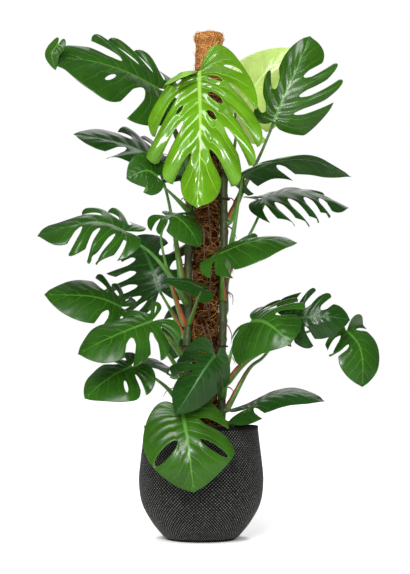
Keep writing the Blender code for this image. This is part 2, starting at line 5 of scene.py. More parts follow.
import bmesh
import bpy
import numpy as np
from mathutils import Euler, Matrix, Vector


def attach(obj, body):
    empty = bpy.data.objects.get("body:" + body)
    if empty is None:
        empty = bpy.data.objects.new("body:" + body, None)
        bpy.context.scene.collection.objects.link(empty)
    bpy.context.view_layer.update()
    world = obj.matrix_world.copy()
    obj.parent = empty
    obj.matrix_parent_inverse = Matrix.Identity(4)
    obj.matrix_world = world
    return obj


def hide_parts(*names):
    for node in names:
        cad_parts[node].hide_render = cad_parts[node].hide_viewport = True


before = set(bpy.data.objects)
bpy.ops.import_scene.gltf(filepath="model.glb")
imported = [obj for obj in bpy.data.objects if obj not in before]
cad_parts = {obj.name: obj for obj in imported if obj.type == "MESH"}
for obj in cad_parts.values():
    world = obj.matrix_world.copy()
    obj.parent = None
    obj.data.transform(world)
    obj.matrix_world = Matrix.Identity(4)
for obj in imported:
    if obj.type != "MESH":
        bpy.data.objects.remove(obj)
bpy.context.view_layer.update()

# Camera and light
EYE = Vector((0.0089, -3.2, 0.36))
TARGET = Vector((0.0089, 0.0, 0.584))
VIEW_HEIGHT = 1.345  # how much the picture takes in, bottom to top, at the target
SENSOR = 24.0  # mm
AMBIENT, AMBIENT_GLOSS = 0.4, 0.15  # how bright the studio is to matt and to glossy surfaces

UP = np.array((0.0, 0.0, 1.0))
LEAST_FIN = 0.0002  # a sheath's wing lower than this has the stalk's own skin

# Leaves: the same table as the solids
LEAF_THICKNESS = 0.0008
MIDRIB_HALF_WIDTH = 0.0022
VEIN_BOW = 0.3
WIDEST = 0.49  # half width of the outline, in leaf lengths
SWEEP_POWER = 1.5  # how a half's sides are drawn towards the tip: more, the further out
HALF_OUTLINE = (  # u along the midrib and v out from it, and where the vein there leaves the midrib
    (-0.04, 0.03, 0.0),
    (-0.19, 0.1, 0.0),
    (-0.25, 0.24, 0.0),
    (-0.18, 0.39, 0.01),
    (0.02, 0.49, 0.05),
    (0.27, 0.49, 0.15),
    (0.52, 0.4, 0.32),
    (0.74, 0.27, 0.53),
    (0.91, 0.12, 0.76),
    (1.0, 0.0, 1.0),
)
CUT_ROUNDING = 0.3  # the share of a cut that its round inner end takes
FINGER_ROUNDING = 0.05  # how much shorter a finger is on its side nearer the tip
FINGER_POINT = 0.24  # how much shorter a finger is on its side nearer the stalk
BLADE_ROWS = 28  # of points from midrib to margin
BLADE_COLUMN = 0.0125  # between veins of points, as a share of the half's outline
MIDRIB_POINTS = 48
VEIN_SPACING = 0.085  # between side veins, as a share of the half's outline
PUCKER_HEIGHT, PUCKER_REACH = 0.0042, 0.22  # a share of the leaf's length, and of the way to the margin
EDGE_DROOP = 0.1
WAVES = ((1.6, 1.0, 0.016), (4.3, 2.7, 0.007))  # of the margin: turns, shift and height
PETIOLE_POINTS, PETIOLE_SIDES = 44, 12


def cuts(*places, inner=0.28, gap=0.02):
    """Cuts from the margin inwards: each place, with the same depth and half width."""
    return [(place, inner, gap) for place in places]


def half(width=1.0, rise=0.0, curl=-0.4, split=(), holes=(), back=None, sweep=0.06):
    """One half of a blade, seen from above with the tip forward.

    width is a share of the outline's, rise the angle that the half rises from the midrib,
    curl the angle that it curls through, split its cuts, and holes its closed slits: where
    each lies, where it starts and ends between midrib and margin, and its half width.
    back is the half's own angle for its lobe, and sweep how far its side is drawn towards the tip.
    """
    return {
        "width": width, "rise": rise, "curl": curl, "split": list(split), "holes": list(holes),
        "back": back, "sweep": sweep,
    }


def leaf(midrib, facing, right, left, tone, stem, height, route, back=0.2, pucker=1.0):
    """A leaf: its midrib from the petiole outwards and where its upper face looks there.

    back is the angle that the lobes behind the petiole rise. The petiole leaves the named
    stem at a height and follows a route of points to the blade.
    """
    return {
        "midrib": np.array(midrib),
        "facing": np.array(facing),
        "halves": {1: right, -1: left},
        "tone": tone,
        "stem": stem,
        "height": height,
        "route": np.array(route),
        "back": back,
        "pucker": pucker,
    }


TONES = {  # upper face, lower face, side veins
    "young": ((0.36, 0.5, 0.12), (0.45, 0.64, 0.14), (0.52, 0.7, 0.22)),
    "bright": ((0.08, 0.215, 0.002), (0.2, 0.42, 0.05), (0.3, 0.52, 0.08)),
    "fresh": ((0.021, 0.074, 0.004), (0.1, 0.23, 0.04), (0.085, 0.235, 0.03)),
    "green": ((0.016, 0.066, 0.004), (0.05, 0.13, 0.018), (0.07, 0.2, 0.025)),
    # dark: the green darkened for leaves behind and under others, painted shade
    "dark": ((0.009, 0.042, 0.004), (0.018, 0.055, 0.01), (0.035, 0.11, 0.025)),
}

COAT, BRIGHT_COAT = 0.1, 0.5  # the weight of the glossy coat on the upper face
TONE_SLOTS = {"young": "leaf_young", "bright": "leaf_bright", "fresh": "leaf_bright"}  # others: leaf_green

LEAVES = {
    "top_left": leaf(
        midrib=(
            (-0.1, 0.01, 1.056), (-0.172, -0.03, 1.086), (-0.245, -0.06, 1.104),
            (-0.31, -0.07, 1.11), (-0.352, -0.07, 1.102),
        ),
        facing=(0.1, -0.65, 0.75),
        right=half(
            0.8, rise=0.4, sweep=0.3,
            split=cuts(0.33, 0.44, 0.54, inner=0.36, gap=0.014) + cuts(0.66, gap=0.04),
        ),
        left=half(1.05, split=cuts(0.55, inner=0.26, gap=0.04), holes=[(0.7, 0.3, 0.62, 0.012)], sweep=0.12),
        tone="green", stem="left", height=0.9, route=((-0.07, 0.01, 0.97),),
    ),
    "hero": leaf(
        midrib=(
            (-0.005, -0.095, 1.075), (-0.002, -0.155, 0.95), (-0.003, -0.185, 0.85), (-0.009, -0.19, 0.745),
        ),
        facing=(0.0, -0.9, 0.4),
        right=half(
            0.78, curl=-1.0, split=cuts(0.36, 0.52, 0.66, inner=0.32, gap=0.016) + cuts(0.8, gap=0.018),
            holes=[(0.44, 0.3, 0.45, 0.012), (0.6, 0.28, 0.44, 0.012)], back=2.4, sweep=0.28,
        ),
        left=half(
            0.88, curl=-0.6,
            split=cuts(0.44, 0.57, 0.66, inner=0.42, gap=0.014) + cuts(0.79, inner=0.24, gap=0.018),
            holes=[
                (0.44, 0.1, 0.34, 0.018), (0.57, 0.1, 0.34, 0.02),
                (0.66, 0.1, 0.3, 0.015), (0.33, 0.45, 0.85, 0.01),
            ],
            back=0.6, sweep=0.28,
        ),
        pucker=2.2, back=1.4, tone="bright", stem="left", height=0.84,
        route=((-0.038, -0.05, 0.9), (-0.03, -0.06, 0.96), (-0.02, -0.07, 1.03)),
    ),
    "young": leaf(
        midrib=((0.085, 0.09, 1.015), (0.145, 0.11, 1.105), (0.215, 0.1, 1.178)),
        facing=(0.2, -0.9, 0.3),
        right=half(1.15, split=cuts(0.42)),
        left=half(0.75),
        pucker=0.5, tone="young", stem="right", height=0.85, route=((0.075, 0.08, 0.9), (0.085, 0.125, 0.97)),
    ),
    "top_right": leaf(
        midrib=((0.17, 0.0, 0.975), (0.2, -0.01, 1.045), (0.232, -0.015, 1.115), (0.258, -0.005, 1.18)),
        facing=(0.1, -0.85, 0.4),
        right=half(1.1, split=cuts(0.5, 0.63, 0.75, gap=0.024), sweep=0.4),
        left=half(0.6, split=cuts(0.45, 0.62, inner=0.4, gap=0.04), sweep=0.2),
        back=1.2, tone="fresh", stem="right", height=0.74, route=((0.1, 0.02, 0.82), (0.14, 0.02, 0.9)),
    ),
    "right_upper": leaf(
        midrib=((0.086, -0.085, 0.831), (0.16, -0.095, 0.862), (0.25, -0.1, 0.868), (0.342, -0.105, 0.828)),
        facing=(0.05, 0.1, 1.0),
        right=half(0.42, rise=0.15, split=cuts(0.58), back=1.3),
        left=half(0.75, split=cuts(0.45, 0.65)),
        back=1.0, tone="dark", stem="right", height=0.62, route=((0.07, -0.04, 0.68), (0.085, -0.075, 0.77)),
    ),
    "right_fingered": leaf(
        midrib=((0.145, 0.03, 0.797), (0.21, 0.03, 0.812), (0.28, 0.035, 0.805), (0.352, 0.04, 0.775)),
        facing=(0.0, -0.4, 0.9),
        right=half(1.35, split=cuts(0.36, 0.48, 0.59, 0.7, 0.8, gap=0.03), sweep=0.26),
        left=half(1.0, split=cuts(0.38, 0.5, 0.63, 0.75, gap=0.026), sweep=0.2),
        tone="dark", stem="right", height=0.53,
        route=((0.06, 0.02, 0.6), (0.085, 0.02, 0.66), (0.12, 0.02, 0.72)),
    ),
    "left_upper": leaf(
        midrib=((-0.089, -0.01, 0.872), (-0.15, -0.03, 0.905), (-0.22, -0.04, 0.925), (-0.298, -0.04, 0.938)),
        facing=(0.0, -0.38, 0.92),
        right=half(1.4, rise=0.35, split=cuts(0.4, 0.54, 0.68, gap=0.03), sweep=0.12),
        left=half(0.95, split=cuts(0.4, 0.55, 0.7, gap=0.026), sweep=0.12),
        tone="dark", stem="left", height=0.58,
        route=((-0.055, -0.01, 0.66), (-0.066, -0.01, 0.73), (-0.08, -0.005, 0.8)),
    ),
    "left_small": leaf(
        midrib=((-0.098, -0.115, 0.828), (-0.125, -0.135, 0.838), (-0.168, -0.145, 0.818)),
        facing=(-0.2, -0.95, 0.3),
        right=half(1.2),
        left=half(1.2),
        tone="green", stem="left", height=0.765, route=((-0.066, -0.068, 0.792),),
    ),
    "left_long": leaf(
        midrib=(
            (-0.168, -0.155, 0.697), (-0.21, -0.16, 0.714), (-0.26, -0.16, 0.716), (-0.366, -0.155, 0.687),
        ),
        facing=(0.0, -0.3, 0.95),
        right=half(1.2, rise=0.35, split=cuts(0.38, 0.5, 0.62, gap=0.024), sweep=0.2),
        left=half(1.35, rise=0.1, curl=-1.2, split=cuts(0.36, 0.48, 0.6, 0.72, gap=0.02), sweep=0.2),
        tone="green", stem="left", height=0.55, route=((-0.075, -0.075, 0.61), (-0.122, -0.12, 0.66)),
    ),
    "left_inner": leaf(
        midrib=(
            (-0.082, -0.085, 0.742), (-0.055, -0.11, 0.735), (-0.027, -0.128, 0.707), (-0.003, -0.135, 0.665),
        ),
        facing=(0.0, -0.5, 0.85),
        right=half(1.05, split=cuts(0.42, 0.58, gap=0.03), sweep=0.15),
        left=half(split=cuts(0.42, 0.58, gap=0.03)),
        tone="green", stem="left", height=0.5, route=((-0.073, -0.04, 0.6), (-0.092, -0.07, 0.69)),
    ),
    "left_back": leaf(
        midrib=((-0.098, 0.06, 0.578), (-0.12, 0.09, 0.64), (-0.145, 0.14, 0.69), (-0.17, 0.19, 0.722)),
        facing=(-0.2, -0.8, 0.5),
        right=half(1.3, split=cuts(0.34, 0.46, 0.58, 0.71, gap=0.034), sweep=0.12),
        left=half(1.5, split=cuts(0.32, 0.43, 0.54, 0.65, 0.76, gap=0.03), sweep=0.12),
        tone="dark", stem="left", height=0.47, route=((-0.06, 0.03, 0.51),),
    ),
    "left_middle": leaf(
        midrib=((-0.182, -0.06, 0.533), (-0.222, -0.08, 0.55), (-0.268, -0.09, 0.558), (-0.357, -0.09, 0.56)),
        facing=(0.0, -0.75, 0.65),
        right=half(1.1, split=cuts(0.34, 0.46, 0.58, gap=0.03), sweep=0.1),
        left=half(1.0, split=cuts(0.4, 0.56, gap=0.03)),
        tone="green", stem="left", height=0.42, route=((-0.075, -0.04, 0.46), (-0.14, -0.05, 0.51)),
    ),
    "left_lower": leaf(
        midrib=(
            (-0.106, -0.18, 0.497), (-0.16, -0.205, 0.475), (-0.215, -0.22, 0.45), (-0.267, -0.225, 0.422),
        ),
        facing=(-0.1, -0.65, 0.75),
        right=half(1.1, split=cuts(0.36, 0.5, gap=0.03), holes=[(0.25, 0.3, 0.7, 0.014)]),
        left=half(1.2, split=cuts(0.38, 0.52, 0.66, gap=0.028), sweep=0.1),
        tone="green", stem="left", height=0.36, route=((-0.065, -0.08, 0.41), (-0.1, -0.14, 0.46)),
    ),
    "left_bottom": leaf(
        midrib=(
            (-0.155, -0.12, 0.398), (-0.19, -0.14, 0.38), (-0.225, -0.15, 0.355), (-0.258, -0.155, 0.325),
        ),
        facing=(-0.1, -0.7, 0.7),
        right=half(1.3, split=cuts(0.4, 0.54, gap=0.026)),
        left=half(1.3, split=cuts(0.48), holes=[(0.62, 0.35, 0.75, 0.014)]),
        tone="green", stem="left", height=0.3, route=((-0.08, -0.06, 0.35), (-0.13, -0.1, 0.385)),
    ),
    "middle_folded": leaf(
        midrib=(
            (0.032, -0.165, 0.422), (0.012, -0.19, 0.395), (-0.02, -0.205, 0.345), (-0.055, -0.205, 0.292),
        ),
        facing=(-0.3, -0.8, 0.5),
        right=half(
            1.2, split=cuts(0.5, 0.66), sweep=0.1,
            holes=[(0.4, 0.2, 0.5, 0.014), (0.58, 0.22, 0.45, 0.012)],
        ),
        left=half(rise=-1.0, split=cuts(0.5)),
        back=1.0, tone="dark", stem="right", height=0.4, route=((0.05, -0.08, 0.43), (0.045, -0.13, 0.43)),
    ),
    "front_low": leaf(
        midrib=(
            (-0.041, -0.165, 0.291), (-0.03, -0.2, 0.24), (-0.022, -0.215, 0.18), (-0.015, -0.205, 0.122),
        ),
        facing=(0.0, -0.85, 0.5),
        right=half(1.08, holes=[(0.66, 0.26, 0.97, 0.036)], sweep=0.18),
        left=half(
            1.22, split=cuts(0.48, inner=0.27, gap=0.04),
            holes=[(0.3, 0.35, 0.8, 0.012), (0.66, 0.3, 0.94, 0.022)],
            sweep=0.2,
        ),
        pucker=1.1, tone="fresh", stem="left", height=0.27, route=((-0.04, -0.08, 0.3), (-0.042, -0.13, 0.3)),
    ),
    "right_small": leaf(
        midrib=((0.103, -0.08, 0.3), (0.16, -0.09, 0.331), (0.22, -0.095, 0.336), (0.28, -0.095, 0.318)),
        facing=(0.0, -0.3, 0.95),
        right=half(0.75, split=cuts(0.5)),
        left=half(0.75),
        tone="dark", stem="right", height=0.262, route=((0.08, -0.045, 0.272),),
    ),
    "right_front": leaf(
        midrib=((0.113, -0.09, 0.5), (0.14, -0.13, 0.497), (0.17, -0.16, 0.475), (0.198, -0.18, 0.445)),
        facing=(0.05, -0.9, 0.4),
        right=half(1.7, split=cuts(0.24, inner=0.4)),
        left=half(1.75, split=cuts(0.3, 0.42, 0.54, 0.68, gap=0.03), sweep=0.1),
        tone="green", stem="right", height=0.33, route=((0.063, -0.05, 0.405), (0.085, -0.075, 0.47)),
    ),
    "right_behind": leaf(
        midrib=((0.205, -0.02, 0.508), (0.25, -0.035, 0.512), (0.3, -0.04, 0.512), (0.345, -0.03, 0.505)),
        facing=(0.1, -0.95, 0.2),
        right=half(1.05, split=cuts(0.42, 0.6)),
        left=half(1.1, split=cuts(0.48, 0.6, 0.74, gap=0.03), sweep=0.15),
        tone="dark", stem="right", height=0.3,
        route=((0.11, 0.0, 0.39), (0.145, 0.005, 0.42), (0.185, 0.005, 0.47)),
    ),
    "far_right": leaf(
        midrib=((0.345, 0.05, 0.485), (0.372, 0.035, 0.45), (0.38, 0.025, 0.405), (0.378, 0.025, 0.35)),
        facing=(0.4, -0.85, 0.3),
        right=half(1.1, split=cuts(0.42, 0.58, gap=0.03), sweep=0.2),
        left=half(split=cuts(0.48)),
        back=1.2, tone="green", stem="right", height=0.36,
        route=((0.12, 0.03, 0.42), (0.25, 0.06, 0.48), (0.32, 0.07, 0.49)),
    ),
    "centre_right": leaf(
        midrib=((0.04, -0.12, 0.65), (0.1, -0.145, 0.672), (0.16, -0.155, 0.68), (0.215, -0.155, 0.672)),
        facing=(0.0, -0.5, 0.85),
        right=half(1.1, split=cuts(0.36, 0.5), sweep=0.1),
        left=half(split=cuts(0.36, 0.48, 0.62, gap=0.03), sweep=0.15),
        tone="green", stem="right", height=0.56, route=((0.048, -0.08, 0.61),),
    ),
    "centre": leaf(
        midrib=((0.004, -0.13, 0.572), (-0.03, -0.15, 0.585), (-0.084, -0.16, 0.588)),
        facing=(0.0, -0.6, 0.8),
        right=half(split=cuts(0.5)),
        left=half(split=cuts(0.5)),
        tone="dark", stem="left", height=0.5, route=((-0.01, -0.08, 0.545),),
    ),
    "back_left": leaf(
        midrib=((-0.035, 0.1, 0.52), (-0.06, 0.13, 0.47), (-0.075, 0.14, 0.415)),
        facing=(-0.2, 0.9, 0.3),
        right=half(split=cuts(0.5)),
        left=half(split=cuts(0.5)),
        tone="dark", stem="back", height=0.42, route=((-0.01, 0.09, 0.48),),
    ),
    "back_low": leaf(
        midrib=((-0.075, 0.15, 0.395), (-0.115, 0.175, 0.415), (-0.165, 0.185, 0.405)),
        facing=(-0.2, 0.4, 0.8),
        right=half(split=cuts(0.5)),
        left=half(split=cuts(0.5)),
        tone="dark", stem="back", height=0.3, route=((-0.03, 0.11, 0.355),),
    ),
    "back_upper": leaf(
        midrib=((0.0, 0.15, 0.96), (0.0, 0.21, 0.94), (0.0, 0.27, 0.88), (0.0, 0.3, 0.8)),
        facing=(0.0, 0.5, 0.8),
        right=half(0.7, split=cuts(0.42, 0.6, 0.75)),
        left=half(0.7, split=cuts(0.42, 0.6, 0.75)),
        tone="green", stem="back", height=0.84, route=((0.012, 0.11, 0.9),),
    ),
}

CURLED_TIP = leaf(  # the end of the top left leaf, which shows its lower face
    midrib=((-0.331, -0.08, 1.142), (-0.344, -0.09, 1.115), (-0.336, -0.082, 1.08)),
    facing=(-0.3, -0.95, 0.1),
    right=half(0.6, curl=-0.6),
    left=half(0.6, curl=-0.6),
    # the tip's fresh tone, lighter than its leaf's green, is painted light where the tip catches the light
    tone="fresh", stem="left", height=0.9, route=(),
)


# Other skins: their two colours and roughness
SKINS = {
    "sheath_pale": ((0.55, 0.6, 0.22), (0.3, 0.42, 0.09), 0.45),
    "sheath_brown": ((0.33, 0.095, 0.012), (0.17, 0.05, 0.01), 0.6),
    "stalk_green": ((0.04, 0.14, 0.012), (0.1, 0.24, 0.03)),
    "vine_bark": ((0.03, 0.07, 0.008), (0.05, 0.032, 0.01), 0.55),
    "root_skin": ((0.13, 0.07, 0.035), (0.07, 0.04, 0.025), 0.7),
}
# Dry materials: dark and light colour, roughness, specular level, and the grain's scale and depth
DRY = {
    # the coir's dark colours paint the shade that the leaves cast on the pole
    "coir_mat": ((0.024, 0.006, 0.001), (0.62, 0.25, 0.07), 0.95, 0.0),
    "coir_fibre": ((0.055, 0.012, 0.001), (1.0, 0.52, 0.18), 0.8, 0.1),
    "twine_strands": ((0.012, 0.01, 0.008), (0.05, 0.04, 0.03), 0.85),
    "pot_ground": ((0.003, 0.003, 0.003), (0.008, 0.008, 0.008), 0.7, 0.1),
    "pot_stitches": ((0.015, 0.015, 0.013), (0.15, 0.15, 0.136), 0.42, 0.5, 1500.0, 0.0002),
    "grow_pot_plastic": ((0.014, 0.014, 0.014), (0.03, 0.03, 0.03), 0.45),
    "soil_earth": ((0.02, 0.011, 0.007), (0.09, 0.045, 0.025), 0.95),
    "bark_wood": ((0.07, 0.025, 0.015), (0.3, 0.12, 0.06), 0.8),
}


# Meshes


def build(name, points, faces, materials, kinds=None, attributes=None):
    """A mesh object at the origin. kinds is each face's material, attributes the points' named numbers."""
    mesh = bpy.data.meshes.new(name)
    mesh.from_pydata([tuple(p) for p in np.asarray(points, float).tolist()], [], [tuple(f) for f in faces])
    for material in materials:
        mesh.materials.append(material)
    if kinds is not None:
        mesh.polygons.foreach_set("material_index", np.asarray(kinds, np.int32))
    for label, values in (attributes or {}).items():
        values = np.asarray(values, np.float32)
        kind, field = ("FLOAT", "value") if values.ndim == 1 else ("FLOAT_VECTOR", "vector")
        mesh.attributes.new(label, kind, "POINT").data.foreach_set(field, values.ravel())
    mesh.polygons.foreach_set("use_smooth", np.full(len(mesh.polygons), True))
    mesh.update()
    piece = bpy.data.objects.new(name, mesh)
    bpy.context.scene.collection.objects.link(piece)
    return piece


def build_parts(name, parts, material, shades=()):
    """One mesh object from several parts' points and faces, each part with its own shade if any."""
    faces, offset = [], 0
    for part in parts:
        faces += [tuple(i + offset for i in face) for face in part[1]]
        offset += len(part[0])
    attributes = {}
    if len(shades):
        attributes["shade"] = np.repeat(shades, [len(part[0]) for part in parts])
    return build(name, np.concatenate([part[0] for part in parts]), faces, [material], attributes=attributes)


def unit(vectors):
    return vectors / np.maximum(np.linalg.norm(vectors, axis=-1, keepdims=True), 1e-12)


def around(angles):
    """Level unit vectors at the angles round Z."""
    return np.stack([np.cos(angles), np.sin(angles), 0 * angles], axis=-1)


def bell(places, middle, width):
    return np.exp(-(((places - middle) / width) ** 2))


def spline_at(points, places):
    """The Catmull-Rom curve through the points, at places counted in points from the first."""
    ends = np.vstack([2 * points[0] - points[1], points, 2 * points[-1] - points[-2]])
    places = np.minimum(places, len(points) - 1 - 1e-9)
    i = places.astype(int)
    t = (places - i)[..., None]
    a, b, c, d = (ends[i + k] for k in range(4))
    return 0.5 * (2 * b + (c - a) * t + (2 * a - 5 * b + 4 * c - d) * t**2 + (3 * b - a - 3 * c + d) * t**3)


def smooth_path(points, count):
    """count points along a smooth curve through the given points, ends included."""
    points = np.asarray(points, float)
    return spline_at(points, np.linspace(0, len(points) - 1, count))


def evenly(path, count):
    """count points evenly spaced along the path, ends included."""
    lengths = np.concatenate([[0.0], np.cumsum(np.linalg.norm(np.diff(path, axis=0), axis=1))])
    places = np.linspace(0.0, lengths[-1], count)
    return np.stack([np.interp(places, lengths, path[:, axis]) for axis in range(3)], axis=1)


def sweep(path, radii, sides=10, start=UP, fins=None, closed=False):
    """Points, faces and face kinds of a tube along the path.

    start is where its first side looks. fins says how far two wings stand out at each point;
    their faces are of kind 1, the others of kind 0.
    """
    path = np.asarray(path, float)
    count = len(path)
    radii = np.broadcast_to(np.asarray(radii, float), (count,))
    if closed:
        tangents = unit(np.roll(path, -1, axis=0) - np.roll(path, 1, axis=0))
    else:
        tangents = unit(np.gradient(path, axis=0))
    normal = np.asarray(start, float)
    if abs(tangents[0] @ normal) > 0.95:
        normal = np.array((1.0, 0.0, 0.0))
    angles = (np.arange(sides) * math.tau / sides)[:, None]
    wings = {1, sides - 1}
    points = []
    for i in range(count):
        normal = unit(normal - tangents[i] * (tangents[i] @ normal))
        across = np.cross(tangents[i], normal)
        reach = np.full((sides, 1), radii[i])
        if fins is not None:
            reach[[1, sides - 1]] += fins[i]
        points.append(path[i] + reach * (np.cos(angles) * normal + np.sin(angles) * across))
    faces, kinds = [], []
    for i in range(count if closed else count - 1):
        after = (i + 1) % count
        winged = fins is not None and max(fins[i], fins[after]) > LEAST_FIN
        for j in range(sides):
            k = (j + 1) % sides
            faces.append((i * sides + j, i * sides + k, after * sides + k, after * sides + j))
            kinds.append(int(winged and bool({j, k} & wings)))
    if not closed:
        faces += [tuple(range(sides))[::-1], tuple(range((count - 1) * sides, count * sides))]
        kinds += [0, 0]
    return np.concatenate(points), faces, kinds


def grid_faces(rows, steps):
    """Faces between rows of points, each row a closed ring."""
    return [
        (i * steps + j, i * steps + (j + 1) % steps, (i + 1) * steps + (j + 1) % steps, (i + 1) * steps + j)
        for i in range(rows - 1)
        for j in range(steps)
    ]


def turned(profile, steps):
    """Points and faces of a profile of (radius, height) turned round Z."""
    profile = np.asarray(profile, float)[:, None]
    points = profile[..., :1] * around(np.arange(steps) * math.tau / steps) + profile[..., 1:] * UP
    return points.reshape(-1, 3), grid_faces(len(profile), steps)


# Materials


def new_material(name, **sockets):
    """A material, its node tree and its shader, with the shader's sockets set."""
    material = bpy.data.materials.new(name)
    material.use_nodes = True
    shader = material.node_tree.nodes["Principled BSDF"]
    for label, value in sockets.items():
        shader.inputs[label.replace("_", " ")].default_value = value
    return material, material.node_tree, shader


def node(tree, kind, inputs=(), **settings):
    """A node, its sockets set or linked by name or place."""
    made = tree.nodes.new("ShaderNode" + kind)
    for label, value in settings.items():
        setattr(made, label, value)
    for label, value in dict(inputs).items():
        socket = made.inputs[label]
        if isinstance(value, bpy.types.NodeSocket):
            tree.links.new(value, socket)
        else:
            socket.default_value = value
    return made


def maths(tree, operation, *values):
    return node(tree, "Math", dict(enumerate(values)), operation=operation).outputs[0]


def mix(tree, factor, low, high):
    """The colour between two colours."""
    made = node(tree, "Mix", {0: factor}, data_type="RGBA")
    for place, value in ((6, low), (7, high)):
        if isinstance(value, bpy.types.NodeSocket):
            tree.links.new(value, made.inputs[place])
        else:
            made.inputs[place].default_value = (*value, 1.0)
    return made.outputs[2]


def spread(tree, value, low, high, to_low=0.0, to_high=1.0):
    """The value moved from one range to another, held inside it, with soft ends."""
    made = node(tree, "MapRange", {0: value, 1: low, 2: high, 3: to_low, 4: to_high})
    made.interpolation_type = "SMOOTHSTEP"
    return made.outputs[0]


def noise(tree, scale, detail=3.0, vector=None):
    if vector is None:
        vector = node(tree, "TexCoord").outputs["Object"]
    return node(tree, "TexNoise", {"Vector": vector, "Scale": scale, "Detail": detail}).outputs[0]


def attribute(tree, label, output="Fac"):
    return node(tree, "Attribute", attribute_name=label).outputs[output]


def bump(tree, shader, height, distance, strength=1.0):
    made = node(tree, "Bump", {"Strength": strength, "Distance": distance, "Height": height})
    tree.links.new(made.outputs[0], shader.inputs["Normal"])


def scaled(colour, factor):
    return tuple(min(c * factor, 1.0) for c in colour)


def blended(a, b, share):
    return tuple((1 - share) * x + share * y for x, y in zip(a, b))


def leaf_side(name, colour, vein, gloss, under, coat=0.0):
    """One side of a blade: mottled, with side veins, fine cross veins and a paler margin."""
    material, tree, shader = new_material(
        name, Roughness=gloss, Specular_IOR_Level=0.2, Coat_Weight=coat, Coat_Roughness=0.12
    )
    parts = node(tree, "SeparateXYZ", {0: attribute(tree, "leaf", "Vector")}).outputs
    phase, reach, margin = parts[0], parts[1], parts[2]
    off_vein = maths(tree, "ABSOLUTE", maths(tree, "SUBTRACT", maths(tree, "FRACT", phase), 0.5))
    width = maths(tree, "MULTIPLY", maths(tree, "SUBTRACT", 1.08, reach), 0.075 if under else 0.05)
    on_vein = spread(tree, maths(tree, "DIVIDE", off_vein, width), 0.3, 1.0, 1.0, 0.0)
    near_rib = spread(tree, reach, 0.005, 0.03, 1.0, 0.0)
    along, out = (maths(tree, "MULTIPLY", part, factor) for part, factor in ((phase, 7.0), (reach, 6.0)))
    grain_place = node(tree, "CombineXYZ", {0: along, 1: out}).outputs[0]
    waves = {"Vector": grain_place, "Scale": 1.3, "Distortion": 5.0, "Detail": 2.0}
    cross = node(tree, "TexWave", waves, bands_direction="DIAGONAL").outputs["Fac"]
    skin = {"Vector": node(tree, "TexCoord").outputs["Object"], "Scale": 230.0}
    cells = node(tree, "TexVoronoi", skin, feature="DISTANCE_TO_EDGE").outputs["Distance"]
    mottle = noise(tree, 150.0, 2.0)
    base = mix(tree, spread(tree, noise(tree, 16.0), 0.3, 0.7), scaled(colour, 0.8), scaled(colour, 1.22))
    base = mix(tree, spread(tree, mottle, 0.35, 0.75, 0.0, 0.25), base, scaled(colour, 1.25))
    base = mix(tree, spread(tree, cross, 0.2, 1.0, 0.0, 0.22), base, scaled(colour, 0.7))
    base = mix(tree, maths(tree, "MULTIPLY", on_vein, 0.75 if under else 0.55), base, vein)
    base = mix(tree, maths(tree, "MULTIPLY", near_rib, 0.8), base, vein)
    base = mix(tree, spread(tree, margin, 0.55, 1.0, 0.0, 0.7), base, blended(colour, vein, 0.6))
    tree.links.new(base, shader.inputs["Base Color"])
    rough = spread(tree, mottle, 0.2, 0.8, gloss * 0.82, gloss * 1.2)
    tree.links.new(rough, shader.inputs["Roughness"])
    height = maths(tree, "MULTIPLY", on_vein, 1.0 if under else -1.0)
    height = maths(tree, "ADD", height, maths(tree, "MULTIPLY", cross, 0.12))
    height = maths(tree, "ADD", height, maths(tree, "MULTIPLY", spread(tree, cells, 0.0, 0.12), 0.05))
    bump(tree, shader, height, 0.0004, 0.6)
    return material


def stalk_material(name, colour, other, gloss=0.35):
    """Streaked green or brown skin of stalks, stems and roots."""
    material, tree, shader = new_material(name, Roughness=gloss, Coat_Weight=0.15, Coat_Roughness=0.3)
    skin = node(tree, "TexCoord").outputs["Object"]
    stretched = node(tree, "Mapping", {0: skin, 3: (1.0, 1.0, 0.16)}).outputs[0]
    streaks = noise(tree, 260.0, 3.0, stretched)
    patches = noise(tree, 28.0)
    specks = noise(tree, 700.0, 2.0)
    base = mix(tree, spread(tree, patches, 0.35, 0.7), colour, blended(colour, other, 0.55))
    base = mix(tree, spread(tree, streaks, 0.35, 0.75, 0.0, 0.6), base, other)
    base = mix(tree, spread(tree, specks, 0.62, 0.75, 0.0, 0.5), base, scaled(other, 1.5))
    tree.links.new(base, shader.inputs["Base Color"])
    tree.links.new(spread(tree, streaks, 0.2, 0.8, gloss * 0.8, gloss * 1.35), shader.inputs["Roughness"])
    bump(tree, shader, maths(tree, "ADD", streaks, maths(tree, "MULTIPLY", specks, 0.4)), 0.0006, 0.5)
    return material


def shaded_material(name, dark, light, gloss, shine=0.3, fine=900.0, depth=0.0004):
    """A dry material whose pieces differ by their own shade, such as fibre or bark; on the coir the shade
    also holds painted shade, darker below the leaves.
    """
    material, tree, shader = new_material(name, Roughness=gloss, Specular_IOR_Level=shine)
    grain = noise(tree, fine)
    base = mix(tree, attribute(tree, "shade"), dark, light)
    base = mix(tree, spread(tree, grain, 0.3, 0.75, 0.0, 0.55), base, scaled(dark, 0.6))
    tree.links.new(base, shader.inputs["Base Color"])
    rough = spread(tree, grain, 0.2, 0.8, gloss * 0.85, min(gloss * 1.1, 1.0))
    tree.links.new(rough, shader.inputs["Roughness"])
    bump(tree, shader, grain, depth, 0.7)
    return material


# Blades


def outline_at(t):
    """The margin's u and v and the vein's origin at each t, from the notch at 0 to the tip at 1."""
    rows = np.array(HALF_OUTLINE)
    row = spline_at(rows, t * (len(rows) - 1))
    return row[..., 0], np.maximum(row[..., 1], 0.0), np.clip(row[..., 2], 0.0, 1.0)


